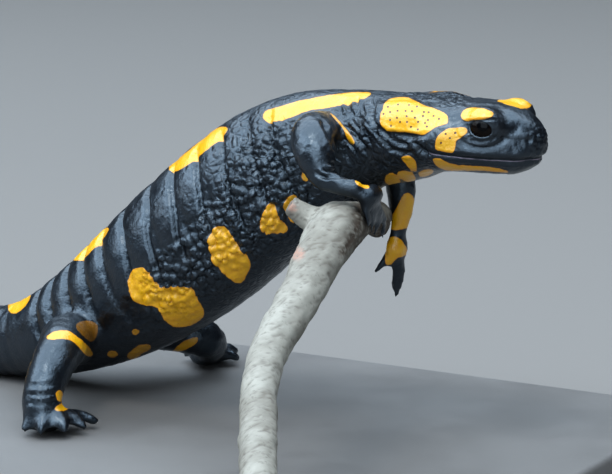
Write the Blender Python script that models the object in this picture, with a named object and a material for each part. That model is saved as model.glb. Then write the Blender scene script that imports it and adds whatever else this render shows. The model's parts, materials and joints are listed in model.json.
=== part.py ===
"""A fire salamander climbing over a short branch, as a life-size still model on a display stand.

Lengths are in millimetres in the salamander's own frame, and to_row() turns them into metres:
x runs towards the snout from beside the right wrist, y to the animal's left from its midline,
and z up from the top of the stand's base.
"""

import math

import bmesh
import bpy
import numpy as np
from mathutils import Vector, noise

MM = 0.001
GAP = 0.3  # between neighbouring solids
TOUCH = 0.3  # the feet and the tail rest this far over the base

# The stand
BASE_LENGTH, BASE_WIDTH, BASE_THICKNESS = 164.0, 112.0, 6.0
BASE_CENTRE = (-50.0, -19.0)
BASE_CORNER, BASE_BEVEL = 14.0, 1.0
ROD_FOOT = (12.1, -60.2)
ROD_RADIUS, ROD_SUNK, ROD_TOP = 1.6, 0.9, 21.0
ROW_SHIFT = np.array([-BASE_CENTRE[0], -BASE_CENTRE[1], BASE_THICKNESS])

# The body from the snout to the tip of the tail: name, centre x, y, z, half width, rise to the back, drop to the belly
BODY = (
    ("snout", 22.6, 0.0, 43.9, 6.8, 4.6, 4.3),
    ("nostril", 19.5, 0.0, 44.4, 7.1, 4.7, 4.5),
    ("eye", 15.2, 0.0, 45.0, 8.1, 5.1, 4.9),
    ("jaw", 8.0, 0.0, 45.3, 9.4, 4.9, 5.4),
    ("nape", 1.5, 0.0, 44.8, 8.7, 5.5, 7.0),
    ("neck", -4.5, 0.0, 43.3, 7.7, 7.4, 6.9),
    ("shoulder", -12.5, 0.0, 39.8, 8.8, 10.7, 8.6),
    ("chest", -22.5, 0.0, 33.4, 10.2, 12.7, 9.8),
    ("belly", -34.4, 0.0, 24.8, 11.1, 12.0, 10.8),
    ("flank", -45.0, 0.0, 16.9, 10.2, 10.8, 9.7),
    ("loin", -54.0, 0.0, 11.6, 8.7, 8.9, 8.3),
    ("pelvis", -61.5, 0.0, 8.0, 7.4, 7.3, 6.8),
    ("vent", -68.5, 0.0, 6.0, 6.0, 6.0, 5.8),
    ("tail_root", -80.0, 0.0, 5.1, 4.9, 5.2, 5.2),
    ("tail_half", -98.0, -1.6, 4.5, 3.9, 4.4, 4.4),
    ("tail_bend", -112.0, -7.2, 3.7, 3.1, 3.6, 3.6),
    ("tail_thin", -121.5, -17.6, 2.7, 2.0, 2.5, 2.5),
    ("tail_end", -124.5, -33.0, 1.7, 0.8, 1.1, 1.3),
)
SNOUT_ROUND_WIDE, SNOUT_ROUND_HIGH = 15.0, 5.6
BODY_POWER, HEAD_POWER = 2.15, 2.4
# The grooves between the ribs: each one's distance from the snout along the spine, their depth and half width
COSTAL_GROOVES = (38.0, 42.0, 46.8, 51.5, 56.6, 62.2, 68.2, 73.6, 79.0, 83.8, 88.2, 92.0)
COSTAL_DEPTH, COSTAL_SPREAD = 0.7, 0.8
TAIL_PITCH, TAIL_DEPTH = 5.0, 0.35
HEAD_SIDES, TRUNK_SIDES, TAIL_SIDES = 36, 28, 16

# The head
EYE_CENTRE, EYE_RADIUS = (15.6, 5.1, 47.3), 2.3
LID_RADIUS = 2.95
LID_OPENING = (2.15, 3.0, 1.35)  # radii along, across and up of the gap between the lids
NOSTRIL, NOSTRIL_RADIUS = (21.6, 2.9, 45.6), 0.5
MOUTH = ((8.6, 43.7), (13.0, 43.3), (16.0, 43.0), (19.5, 42.75), (24.5, 42.8))  # x and z of the line of the mouth
LIP_HEIGHT, LIP_SWELL = 0.7, 0.3
PAROTOID = (2.6, 7.2, 48.4, 6.0, 1.3)  # x, y and z of its middle, half length, swelling
CHEEK = (9.3, 8.6, 45.6, 3.0, 0.7)


def smooth_track(knots, values, at):
    """Cubic curve through values at knots that never overshoots them, read at the places given."""
    knots, values, at = np.asarray(knots, float), np.asarray(values, float), np.atleast_1d(at)
    steps = np.diff(knots)[:, None]
    rises = np.diff(values, axis=0) / steps
    slopes = np.vstack([rises[:1], rises[:1].repeat(len(knots) - 2, 0), rises[-1:]])
    before, after = rises[:-1], rises[1:]
    mean = (before * steps[1:] + after * steps[:-1]) / (steps[:-1] + steps[1:])
    least = 3 * np.minimum(abs(before), abs(after))
    slopes[1:-1] = np.where(before * after > 0, np.sign(mean) * np.minimum(abs(mean), least), 0)
    span = np.clip(np.searchsorted(knots, at, "right") - 1, 0, len(knots) - 2)
    width = steps[span]
    t = ((at - knots[span])[:, None] / width).clip(0, 1)
    return (
        values[span] * (1 + 2 * t) * (1 - t) ** 2
        + slopes[span] * width * t * (1 - t) ** 2
        + values[span + 1] * t * t * (3 - 2 * t)
        + slopes[span + 1] * width * t * t * (t - 1)
    )


def along(points):
    """Distance along a line of points, starting at 0."""
    steps = np.linalg.norm(np.diff(np.asarray(points, float), axis=0), axis=1)
    return np.concatenate([[0.0], np.cumsum(steps)])


def unit(vectors):
    vectors = np.asarray(vectors, float)
    return vectors / np.maximum(np.linalg.norm(vectors, axis=-1, keepdims=True), 1e-9)


def smooth_step(low, high, value):
    t = np.clip((value - low) / (high - low), 0, 1)
    return t * t * (3 - 2 * t)


BODY_PLACES = along([row[1:4] for row in BODY])
PLACE = {row[0]: float(BODY_PLACES[i]) for i, row in enumerate(BODY)}


def costal_relief(s, angle):
    """Grooves between the ribs, deep on the flanks and gone along the spine and the belly."""
    if not COSTAL_GROOVES[0] - 2 < s < COSTAL_GROOVES[-1] + 2:
        return 0 * angle
    away = min(abs(s - place) for place in COSTAL_GROOVES)
    groove = math.exp(-((away / COSTAL_SPREAD) ** 2)) - 0.25
    flank = np.clip(abs(np.cos(angle)), 0, 1) ** 0.8 * (0.35 + 0.65 * smooth_step(-0.35, 0.25, np.sin(angle)))
    return -COSTAL_DEPTH * groove * flank


def tail_relief(s, angle):
    if s < PLACE["vent"]:
        return 0 * angle
    away = (s - PLACE["vent"] + TAIL_PITCH / 2) % TAIL_PITCH - TAIL_PITCH / 2
    fade = 1 - smooth_step(PLACE["tail_half"], PLACE["tail_end"], s)
    return -TAIL_DEPTH * fade * (math.exp(-((away / 0.9) ** 2)) - 0.25) * abs(np.cos(angle)) ** 0.5


def body_ring(s, angles, grow=0.0):
    """Points round the body at a distance from the snout, counted from its left over its back."""
    values = smooth_track(BODY_PLACES, [row[1:] for row in BODY], [s - 0.4, s, s + 0.4])
    centre, forward = values[1, :3], unit(values[0, :3] - values[2, :3])
    left = unit(np.cross([0.0, 0.0, 1.0], forward))
    up = np.cross(forward, left)
    wide, rise, drop = values[1, 3:]
    wide *= math.sqrt(1 - (1 - min(s / SNOUT_ROUND_WIDE, 1)) ** 2)
    high = math.sqrt(1 - (1 - min(s / SNOUT_ROUND_HIGH, 1)) ** 2)
    power = HEAD_POWER + (BODY_POWER - HEAD_POWER) * float(smooth_step(PLACE["jaw"], PLACE["neck"], s))
    across = np.sign(np.cos(angles)) * abs(np.cos(angles)) ** (2 / power)
    over = np.sign(np.sin(angles)) * abs(np.sin(angles)) ** (2 / power)
    height = np.where(over >= 0, rise, drop) * high
    out = unit(np.outer(across / max(wide, 0.1), left) + np.outer(over / np.maximum(height, 0.1), up))
    points = centre + np.outer(wide * across, left) + np.outer(height * over, up)
    relief = costal_relief(s, angles) + tail_relief(s, angles) + grow
    points = points + out * relief[:, None]
    return points + out * head_relief(points, s)[:, None]


def head_relief(points, s):
    """Swelling of the parotoid glands, the cheeks and the lips."""
    if s > PLACE["neck"]:
        return np.zeros(len(points))
    swell = np.zeros(len(points))
    for x, y, z, half_length, height in (PAROTOID, CHEEK):
        beside = points * [1, 1, 1] - [x, 0, z]
        aside = abs(points[:, 1]) - y
        near = (beside[:, 0] / half_length) ** 2 + (aside**2 + beside[:, 2] ** 2) / (0.55 * half_length) ** 2
        swell += height * np.clip(1 - near, 0, 1) ** 0.8
    line = mouth_height(points[:, 0])
    inside = (points[:, 0] > MOUTH[0][0] - 1) * smooth_step(0.0, 2.0, s)
    return swell + LIP_SWELL * inside * np.exp(-(((points[:, 2] - line) / LIP_HEIGHT) ** 2))


def mouth_height(x):
    knots = [row[0] for row in MOUTH]
    return smooth_track(knots, [[row[1]] for row in MOUTH], np.clip(x, knots[0], knots[-1]))[:, 0]


def sweep(name, rings):
    """Closed tube through rings of points, made by extruding a circle from ring to ring."""
    tube = bmesh.new()
    loop = list(bmesh.ops.create_circle(tube, segments=len(rings[0]), radius=1.0)["verts"])
    set_ring(loop, rings[0])
    caps = bmesh.ops.contextual_create(tube, geom=loop)["faces"]
    for ring in rings[1:]:
        edges = [tube.edges.get((a, b)) for a, b in zip(loop, loop[1:] + loop[:1])]
        grown = bmesh.ops.extrude_edge_only(tube, edges=edges)["geom"]
        fresh = {item for item in grown if isinstance(item, bmesh.types.BMVert)}
        loop = [next(e.other_vert(v) for e in v.link_edges if e.other_vert(v) in fresh) for v in loop]
        set_ring(loop, ring)
    caps += bmesh.ops.contextual_create(tube, geom=loop)["faces"]
    bmesh.ops.poke(tube, faces=caps)
    return solid(name, tube)


def set_ring(loop, ring):
    for vertex, point in zip(loop, ring):
        vertex.co = to_row(point)


def to_row(point):
    return Vector((np.asarray(point, float) + ROW_SHIFT) * MM)


def solid(name, shape):
    """An object from a closed bmesh, with its faces turned outwards."""
    bmesh.ops.triangulate(shape, faces=shape.faces[:])
    bmesh.ops.recalc_face_normals(shape, faces=shape.faces[:])
    mesh = bpy.data.meshes.new(name)
    shape.to_mesh(mesh)
    shape.free()
    made = bpy.data.objects.new(name, mesh)
    bpy.context.scene.collection.objects.link(made)
    return made


def ball(name, centre, radii, sides=16, rings=10):
    shape = bmesh.new()
    bmesh.ops.create_uvsphere(shape, u_segments=sides, v_segments=rings, radius=1.0)
    bmesh.ops.scale(shape, vec=Vector(radii) * MM, verts=shape.verts)
    bmesh.ops.translate(shape, vec=to_row(centre), verts=shape.verts)
    return solid(name, shape)


def block(name, outline, low_y, high_y):
    """Prism with an outline of x and z points, from low_y to high_y."""
    shape = bmesh.new()
    corners = [shape.verts.new(to_row((x, low_y, z))) for x, z in outline]
    face = shape.faces.new(corners)
    pushed = bmesh.ops.extrude_face_region(shape, geom=[face])["geom"]
    moved = [item for item in pushed if isinstance(item, bmesh.types.BMVert)]
    bmesh.ops.translate(shape, vec=Vector((0, (high_y - low_y) * MM, 0)), verts=moved)
    return solid(name, shape)


def combine(target, others, operation, solver="EXACT"):
    """Joins or cuts closed solids with one Boolean, removes the others, and keeps the largest closed surface."""
    group = bpy.data.collections.new("pieces")
    bpy.context.scene.collection.children.link(group)
    for other in others:
        group.objects.link(other)
    change = target.modifiers.new("change", "BOOLEAN")
    change.operation, change.solver = operation, solver
    change.operand_type, change.collection = "COLLECTION", group
    bpy.context.view_layer.update()
    graph = bpy.context.evaluated_depsgraph_get()
    mesh = bpy.data.meshes.new_from_object(target.evaluated_get(graph))
    target.modifiers.clear()
    target.data = mesh
    for other in others:
        bpy.data.objects.remove(other)
    bpy.data.collections.remove(group)
    keep_largest(target)
    return target


def keep_largest(target):
    """Keeps the largest closed surface of a solid, welded and in triangles."""
    shape = bmesh.new()
    shape.from_mesh(target.data)
    bmesh.ops.remove_doubles(shape, verts=shape.verts[:], dist=0.004 * MM)
    bmesh.ops.dissolve_degenerate(shape, edges=shape.edges[:], dist=0.004 * MM)
    bmesh.ops.triangulate(shape, faces=shape.faces[:])
    islands, seen = [], set()
    for start in shape.verts:
        if start in seen:
            continue
        island, edge_of_search = {start}, [start]
        while edge_of_search:
            for edge in edge_of_search.pop().link_edges:
                for vertex in edge.verts:
                    if vertex not in island:
                        island.add(vertex)
                        edge_of_search.append(vertex)
        seen |= island
        islands.append(island)
    largest = max(islands, key=len)
    bmesh.ops.delete(shape, geom=[v for v in shape.verts if v not in largest], context="VERTS")
    bmesh.ops.recalc_face_normals(shape, faces=shape.faces[:])
    shape.to_mesh(target.data)
    shape.free()


def even_angles(sides):
    return np.arange(sides) * 2 * math.pi / sides


def body_places(start, end, spacing):
    """Places of the rings between two distances, with one on each groove where there are grooves."""
    if start >= PLACE["shoulder"] and end <= PLACE["vent"] + 1:
        grooves = np.array([*COSTAL_GROOVES, 96.5, 100.5])
        inner = np.concatenate([grooves - 0.95, grooves, grooves + 0.95, (grooves[1:] + grooves[:-1]) / 2])
        inner = np.sort(inner[(inner > start + 0.5) & (inner < end - 0.5)])
    else:
        inner = np.linspace(start, end, max(2, round((end - start) / spacing)) + 1)[1:-1]
    return [start, *inner, end]


def body_piece(name, start, end, sides, spacing, grow=0.0):
    angles = even_angles(sides)
    return sweep(name, [rest_on_base(body_ring(s, angles, grow)) for s in body_places(start, end, spacing)])


def rest_on_base(points):
    """Flattens what would sink below the top of the base."""
    points = points.copy()
    points[:, 2] = np.maximum(points[:, 2], TOUCH)
    return points


def mirrored(point, side):
    """The point on the animal's left for side 1, on its right for side -1."""
    return (point[0], side * point[1], point[2])


def make_head(end):
    """Head with its lids and nostrils, parted from the lower jaw along the line of the mouth."""
    turn = np.linspace(0.15, math.pi / 2, 8)
    front = SNOUT_ROUND_HIGH * (1 - np.cos(turn))
    places = [*front, *np.linspace(SNOUT_ROUND_HIGH, end, 16)[1:]]
    angles = even_angles(HEAD_SIDES)
    whole = sweep("head", [body_ring(s, angles) for s in places])
    lids = [ball("lid", mirrored(EYE_CENTRE, side), [LID_RADIUS] * 3, 18, 12) for side in (-1, 1)]
    combine(whole, lids, "UNION")
    jaw_line = [(x, float(mouth_height(np.array([x]))[0])) for x in np.linspace(MOUTH[0][0], MOUTH[-1][0], 12)]
    back_x = MOUTH[0][0]
    low_block = [(back_x, 30.0), *jaw_line, (MOUTH[-1][0], 30.0)]
    jaw = whole.copy()
    jaw.data = whole.data.copy()
    jaw.name = "lower_jaw"
    bpy.context.scene.collection.objects.link(jaw)
    combine(jaw, [block("cut", low_block, -15.0, 15.0)], "INTERSECT")
    grown = [(back_x - GAP, 29.0), *[(x - GAP * (x == back_x), z + GAP) for x, z in jaw_line], (MOUTH[-1][0] + 1, 29.0)]
    cutters = [block("cut", grown, -16.0, 16.0)]
    for side in (-1, 1):
        cutters.append(ball("socket", mirrored(EYE_CENTRE, side), [EYE_RADIUS + GAP] * 3, 18, 12))
        cutters.append(lid_opening(side))
        cutters.append(ball("nostril", mirrored(NOSTRIL, side), [NOSTRIL_RADIUS] * 3, 8, 6))
    combine(whole, cutters, "DIFFERENCE")
    return whole, jaw


def lid_opening(side):
    """The almond gap between the lids, as a flat ball that reaches out of the eye."""
    x, y, z = mirrored(EYE_CENTRE, side)
    return ball("opening", (x + 0.2, y + side * LID_RADIUS, z - 0.1), LID_OPENING, 18, 12)


# Limbs: centre x, y, z and radius along each, from inside the body outwards; y and z as they stand
ARM_RIGHT = ((-10.0, -3.0, 43.0, 3.2), (-9.2, -8.5, 45.1, 3.2), (-8.0, -12.2, 44.8, 3.2), (-6.3, -14.4, 43.0, 3.0),
             (-5.0, -15.4, 41.0, 2.3), (-3.9, -16.0, 39.7, 1.6), (-1.6, -16.0, 39.2, 1.4), (1.0, -15.0, 38.7, 1.3))
ARM_LEFT = ((-10.5, 3.0, 41.5, 3.2), (-9.4, 8.0, 41.6, 3.1), (-7.4, 10.8, 38.6, 2.8), (-5.9, 10.8, 34.6, 2.3),
            (-5.8, 10.6, 31.2, 1.9), (-6.3, 10.5, 28.0, 1.4))
LEG_RIGHT = ((-55.0, -3.0, 8.4, 4.1), (-52.4, -9.0, 9.6, 4.1), (-49.6, -14.6, 10.9, 3.9), (-47.4, -18.8, 10.8, 3.6),
             (-46.4, -22.4, 9.2, 3.3), (-45.9, -25.2, 6.8, 3.1), (-45.6, -26.6, 4.8, 2.9), (-45.4, -27.0, 3.0, 2.7))
LEG_LEFT = ((-55.0, 3.0, 8.6, 4.0), (-51.0, 8.6, 8.8, 4.0), (-46.4, 12.6, 7.6, 3.6), (-43.4, 14.8, 6.2, 3.2),
            (-43.4, 16.8, 5.0, 2.8), (-45.0, 19.0, 3.5, 2.4), (-46.2, 20.2, 2.6, 2.1))
LIMB_SIDES = 12


def limb_rings(knots, start, end, spacing=1.3, across=(0.0, 1.0, 0.0)):
    """Rings along part of a limb; start and end are shares of its length."""
    knots = np.array(knots)
    places = along(knots[:, :3])
    total = places[-1]
    count = max(3, round((end - start) * total / spacing))
    rings = []
    for s in np.linspace(start * total, end * total, count + 1):
        values = smooth_track(places, knots, [s - 0.3, s, s + 0.3])
        forward = unit(values[2, :3] - values[0, :3])
        first = unit(np.cross(forward, across))
        second = np.cross(first, forward)
        angles = even_angles(LIMB_SIDES)
        offset = np.outer(np.cos(angles), first) + np.outer(np.sin(angles), second)
        rings.append(values[1, :3] + values[1, 3] * offset)
    return rings


def digit(name, root, middle, tip, thick, sides=6):
    """One finger or toe: a tapered tube with a round end, bent over a middle point."""
    knots = np.array([(*root, thick), (*middle, 0.92 * thick), (*tip, 0.62 * thick)])
    places = along(knots[:, :3])
    end = places[-1]
    rings = []
    for share in (0.0, 0.3, 0.55, 0.8, 0.95, 1.0):
        s = share * end
        values = smooth_track(places, knots, [s - 0.2, s, s + 0.2])
        forward = unit(values[2, :3] - values[0, :3])
        first = unit(np.cross(forward, [0.0, 1.0, 0.17]))
        second = np.cross(first, forward)
        radius = values[1, 3] * {0.95: 0.8, 1.0: 0.35}.get(share, 1.0)
        angles = even_angles(sides)
        rings.append(values[1, :3] + radius * (np.outer(np.cos(angles), first) + np.outer(np.sin(angles), second)))
    return sweep(name, rings)


# Hands and feet: palm centre, palm radii, then each digit's middle point and tip, with one thickness for all
HAND_RIGHT = ((1.8, -12.9, 37.7), (1.7, 2.9, 1.5), 0.8,
              (((1.7, -14.4, 36.2), (2.1, -14.1, 33.0)), ((1.7, -12.5, 35.4), (1.4, -12.0, 31.7)),
               ((1.4, -10.2, 34.6), (0.5, -9.3, 31.1)), ((1.1, -8.0, 33.8), (-0.8, -4.6, 29.9))))
HAND_LEFT = ((-6.4, 10.5, 25.4), (1.5, 2.3, 2.3), 0.8,
             (((-7.8, 9.2, 23.4), (-9.3, 8.8, 21.4)), ((-6.8, 11.0, 22.2), (-8.0, 12.2, 18.4)),
              ((-6.4, 12.0, 22.0), (-8.2, 13.4, 16.8)), ((-7.2, 12.8, 24.4), (-9.6, 13.8, 23.4))))
FOOT_RIGHT = ((-45.4, -25.8, 2.1), (3.1, 3.3, 2.0), 1.25,
              (((-46.1, -28.3, 2.4), (-46.2, -30.5, 1.1)), ((-43.7, -28.6, 2.7), (-43.0, -30.7, 1.1)),
               ((-41.9, -26.9, 2.9), (-40.0, -28.5, 1.1)), ((-41.5, -24.6, 2.6), (-38.8, -24.9, 1.1)),
               ((-42.6, -22.4, 2.2), (-39.4, -20.6, 1.1))))
FOOT_LEFT = ((-46.6, 20.8, 2.0), (3.0, 3.3, 1.9), 1.15,
             (((-49.4, 21.6, 2.0), (-51.8, 21.8, 1.05)), ((-48.8, 23.8, 2.3), (-51.0, 25.6, 1.05)),
              ((-47.0, 24.8, 2.5), (-48.0, 27.8, 1.05)), ((-45.0, 24.4, 2.4), (-44.4, 27.0, 1.05)),
              ((-43.6, 22.4, 2.0), (-42.0, 23.8, 1.05))))


def make_hand(name, palm, radii, thick, digits, cutters):
    """Palm with its digits joined to it, cut clear of what it touches."""
    made = ball(name, palm, radii, 12, 8)
    palm = np.array(palm)
    fingers = []
    for middle, tip in digits:
        root = palm + 0.45 * (np.array(middle) - palm)
        fingers.append(digit("digit", root, middle, tip, thick))
    combine(made, fingers, "UNION")
    if cutters:
        combine(made, cutters, "DIFFERENCE")
    return made


# The branch: centre x, y, z and radius, from its near end to the end behind the left hand
BRANCH = ((31.5, -93.0, 16.9, 2.5), (23.1, -79.0, 18.3, 2.4), (16.8, -68.5, 19.5, 2.5), (11.4, -59.0, 21.3, 2.5),
          (7.2, -50.0, 23.3, 2.7), (5.0, -41.0, 26.0, 2.9), (2.6, -32.0, 28.7, 3.2), (0.2, -24.0, 30.9, 3.6),
          (-2.0, -15.6, 32.9, 4.0), (-2.5, -9.0, 33.0, 2.8), (-2.8, -3.0, 32.5, 2.5), (-6.0, 3.0, 30.7, 2.2),
          (-9.2, 9.0, 28.9, 2.1), (-12.2, 15.4, 27.6, 2.0))
STUB = ((-3.6, -16.4, 33.6, 2.2), (-6.4, -18.0, 35.2, 1.8), (-8.0, -18.8, 36.4, 1.6))
BRANCH_SIDES, BRANCH_SPACING = 14, 3.0
BARK_BUMP = 0.35


def branch_rings(knots, grow, sides, spacing):
    knots = np.array(knots)
    places = along(knots[:, :3])
    rings = []
    for s in np.linspace(0, places[-1], max(3, round(places[-1] / spacing)) + 1):
        values = smooth_track(places, knots, [s - 0.5, s, s + 0.5])
        forward = unit(values[2, :3] - values[0, :3])
        first = unit(np.cross(forward, [0.0, 0.0, 1.0]))
        second = np.cross(first, forward)
        angles = even_angles(sides)
        offset = np.outer(np.cos(angles), first) + np.outer(np.sin(angles), second)
        bumps = [noise.noise(Vector(values[1, :3] * 0.22 + 2.6 * o)) for o in offset]
        radius = values[1, 3] + BARK_BUMP * np.array(bumps) + grow
        rings.append(values[1, :3] + radius[:, None] * offset)
    return rings


def make_branch(name, grow=0.0):
    made = sweep(name, branch_rings(BRANCH, grow, BRANCH_SIDES, BRANCH_SPACING))
    stub = sweep("stub", branch_rings(STUB, grow, 10, 1.4))
    return combine(made, [stub], "UNION")


def make_stand():
    base = bmesh.new()
    bmesh.ops.create_grid(base, x_segments=1, y_segments=1, size=0.5)
    bmesh.ops.scale(base, vec=(BASE_LENGTH * MM, BASE_WIDTH * MM, 1), verts=base.verts)
    corner_cut = bmesh.ops.bevel(base, geom=base.verts[:], offset=BASE_CORNER * MM, segments=6, profile=0.5,
                                 affect="VERTICES", material=-1)
    pushed = bmesh.ops.extrude_face_region(base, geom=base.faces[:])["geom"]
    moved = [item for item in pushed if isinstance(item, bmesh.types.BMVert)]
    bmesh.ops.translate(base, vec=(0, 0, BASE_THICKNESS * MM), verts=moved)
    top = [e for e in base.edges if all(v.co.z > 0.5 * BASE_THICKNESS * MM for v in e.verts)]
    bmesh.ops.bevel(base, geom=top, offset=BASE_BEVEL * MM, segments=2, profile=0.5, affect="EDGES", material=-1)
    plate = solid("stand_base", base)
    hole = rod("hole", ROD_RADIUS + GAP, -ROD_SUNK * 3 - GAP, 20.0)
    combine(plate, [hole], "DIFFERENCE")
    return plate


def rod(name, radius, low, high):
    shape = bmesh.new()
    bmesh.ops.create_cone(shape, cap_ends=True, segments=20, radius1=radius * MM, radius2=radius * MM, depth=(high - low) * MM)
    bmesh.ops.translate(shape, vec=to_row((*ROD_FOOT, (low + high) / 2)), verts=shape.verts)
    return solid(name, shape)


def paint(made, colour, roughness, metallic=0.0):
    material = bpy.data.materials.new(made.name)
    material.use_nodes = True
    shader = material.node_tree.nodes["Principled BSDF"]
    shader.inputs["Base Color"].default_value = (*colour, 1.0)
    shader.inputs["Roughness"].default_value = roughness
    shader.inputs["Metallic"].default_value = metallic
    made.data.materials.clear()
    made.data.materials.append(material)
    made.data.shade_smooth()
    made.data.set_sharp_from_angle(angle=math.radians(40))


SKIN_BLACK, EYE_BLACK = (0.012, 0.013, 0.016), (0.006, 0.005, 0.004)
BARK_GREY, BASE_GREY, ROD_STEEL = (0.42, 0.41, 0.38), (0.36, 0.35, 0.34), (0.6, 0.6, 0.6)


def main():
    for old in list(bpy.data.objects):
        bpy.data.objects.remove(old)
    cuts = [PLACE["nape"] - 1.5, PLACE["neck"] + 2.5, PLACE["chest"] + 3.0, PLACE["flank"] - 3.0, PLACE["vent"] - 3.0,
            PLACE["tail_root"] + 8.0, PLACE["tail_thin"] - 4.0, PLACE["tail_end"]]
    half = GAP / 2
    skin = list(make_head(cuts[0] - half))
    names = ("neck", "torso_chest", "torso_belly", "torso_loin", "tail_base", "tail_middle", "tail_tip")
    for name, start, end in zip(names, cuts[:-1], cuts[1:]):
        sides = TRUNK_SIDES if start < PLACE["vent"] - 4 else TAIL_SIDES
        skin.append(body_piece(name, start + half, end - half, sides, 1.7))

    def body_cutter(start, end):
        return body_piece("body_cut", start, end, TRUNK_SIDES, 1.7, GAP)

    front = (cuts[0] + 2, cuts[3])
    rear = (cuts[2], cuts[4])
    for name, knots, elbow, reach in (("right", ARM_RIGHT, 0.66, front), ("left", ARM_LEFT, 0.60, front)):
        upper = sweep("upper_arm_" + name, limb_rings(knots, 0.0, elbow))
        combine(upper, [body_cutter(*reach)], "DIFFERENCE", "MANIFOLD")
        lower = sweep("forearm_" + name, limb_rings(knots, elbow + 0.013, 1.0))
        above = sweep("cut", [grown_ring(r, GAP) for r in limb_rings(knots, 0.3, elbow)])
        combine(lower, [above, body_cutter(*reach), make_branch("cut", GAP)], "DIFFERENCE", "MANIFOLD")
        skin += [upper, lower]
    for name, knots, knee, reach in (("right", LEG_RIGHT, 0.64, rear), ("left", LEG_LEFT, 0.64, rear)):
        upper = sweep("thigh_" + name, limb_rings(knots, 0.0, knee))
        combine(upper, [body_cutter(*reach)], "DIFFERENCE", "MANIFOLD")
        lower = sweep("shank_" + name, limb_rings(knots, knee + 0.012, 1.0))
        above = sweep("cut", [grown_ring(r, GAP) for r in limb_rings(knots, 0.3, knee)])
        combine(lower, [above, body_cutter(*reach)], "DIFFERENCE", "MANIFOLD")
        skin += [upper, lower]
    for name, parts in (("hand_right", HAND_RIGHT), ("hand_left", HAND_LEFT)):
        knots = ARM_RIGHT if name.endswith("right") else ARM_LEFT
        cut = [sweep("wrist", [grown_ring(r, GAP) for r in limb_rings(knots, 0.6, 1.0)]), make_branch("cut", GAP)]
        skin.append(make_hand(name, *parts, cut))
    for name, parts in (("foot_right", FOOT_RIGHT), ("foot_left", FOOT_LEFT)):
        knots = LEG_RIGHT if name.endswith("right") else LEG_LEFT
        cut = [sweep("ankle", [grown_ring(r, GAP) for r in limb_rings(knots, 0.6, 1.0)]),
               block("ground", [(-120, -20), (20, -20), (20, TOUCH), (-120, TOUCH)], -60, 60)]
        skin.append(make_hand(name, *parts, cut))
    for made in skin:
        paint(made, SKIN_BLACK, 0.35)
    for side, name in ((-1, "eye_right"), (1, "eye_left")):
        paint(ball(name, mirrored(EYE_CENTRE, side), [EYE_RADIUS] * 3, 16, 10), EYE_BLACK, 0.05)
    paint(make_branch("perch_branch"), BARK_GREY, 0.9)
    steel = rod("stand_rod", ROD_RADIUS, -ROD_SUNK, ROD_TOP)
    combine(steel, [make_branch("cut", GAP)], "DIFFERENCE")
    paint(steel, ROD_STEEL, 0.3, 1.0)
    paint(make_stand(), BASE_GREY, 0.6)


def grown_ring(ring, grow):
    centre = ring.mean(0)
    return centre + (ring - centre) * (1 + grow / np.linalg.norm(ring - centre, axis=1, keepdims=True))


main()
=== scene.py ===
"""The looks of a life-size fire salamander model on its branch and stand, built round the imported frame.

Shapes are worked out in millimetres in the animal's own frame (x to the snout, y to its left, z up from
the top of the stand's base) and turned into the row's metres by BodyFrame.
"""

import json
import logging
import math
from dataclasses import dataclass, field
from enum import Enum

import bmesh
import bpy
import numpy as np
from mathutils import Matrix, Vector, kdtree, noise

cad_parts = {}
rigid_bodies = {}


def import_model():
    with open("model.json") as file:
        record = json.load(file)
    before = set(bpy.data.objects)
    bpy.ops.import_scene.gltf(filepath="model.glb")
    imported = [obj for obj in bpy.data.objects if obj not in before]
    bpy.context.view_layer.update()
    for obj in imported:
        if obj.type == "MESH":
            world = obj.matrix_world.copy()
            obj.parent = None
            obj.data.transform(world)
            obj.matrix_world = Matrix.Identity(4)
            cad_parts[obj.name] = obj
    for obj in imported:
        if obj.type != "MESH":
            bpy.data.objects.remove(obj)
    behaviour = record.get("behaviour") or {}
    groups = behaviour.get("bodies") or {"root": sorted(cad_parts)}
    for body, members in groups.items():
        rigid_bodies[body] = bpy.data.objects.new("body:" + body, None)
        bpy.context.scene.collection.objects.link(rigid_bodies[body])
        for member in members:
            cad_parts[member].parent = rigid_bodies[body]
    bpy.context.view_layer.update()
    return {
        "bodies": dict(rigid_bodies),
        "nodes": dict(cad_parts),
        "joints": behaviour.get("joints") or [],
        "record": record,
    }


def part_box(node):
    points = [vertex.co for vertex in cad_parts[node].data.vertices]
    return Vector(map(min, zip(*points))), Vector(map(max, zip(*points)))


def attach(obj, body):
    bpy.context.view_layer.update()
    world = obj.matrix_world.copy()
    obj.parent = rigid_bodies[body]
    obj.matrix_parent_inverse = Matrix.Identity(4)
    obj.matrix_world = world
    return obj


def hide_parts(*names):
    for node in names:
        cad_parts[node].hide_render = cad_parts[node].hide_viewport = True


Array = np.ndarray
Socket = bpy.types.NodeSocket
Triple = tuple[float, float, float]
Corners = tuple[tuple[float, float], ...]

MM = 0.001
PER_METRE = 1000.0
FAR_AWAY = 1e9
TINY = 1e-9
LOG = logging.getLogger("salamander")


@dataclass(frozen=True)
class BodyFrame:
    """Where the animal's own frame lies in the row, in millimetres."""

    shift: Triple = (50.0, 19.0, 6.0)

    def to_row(self, points: Array) -> Array:
        """Row coordinates in metres of points in the animal's frame."""
        return (np.asarray(points, float) + self.shift) * MM

    def from_row(self, points: Array) -> Array:
        """The animal's own millimetres of points in row metres."""
        return np.asarray(points, float) * PER_METRE - self.shift


FRAME = BodyFrame()


def smooth_step(low: float, high: float, value: Array) -> Array:
    """A smooth rise from 0 at low to 1 at high.

    Args:
        low: The value where the rise starts.
        high: The value where it ends.
        value: The numbers to read it at.

    Returns:
        The rise, from 0 to 1.
    """
    share = np.clip((np.asarray(value, float) - low) / (high - low), 0, 1)
    return share * share * (3 - 2 * share)


def bell(value: Array, width: float) -> Array:
    """A bell curve of the given half width, 1 at 0."""
    return np.exp(-((np.asarray(value, float) / width) ** 2))


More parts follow.
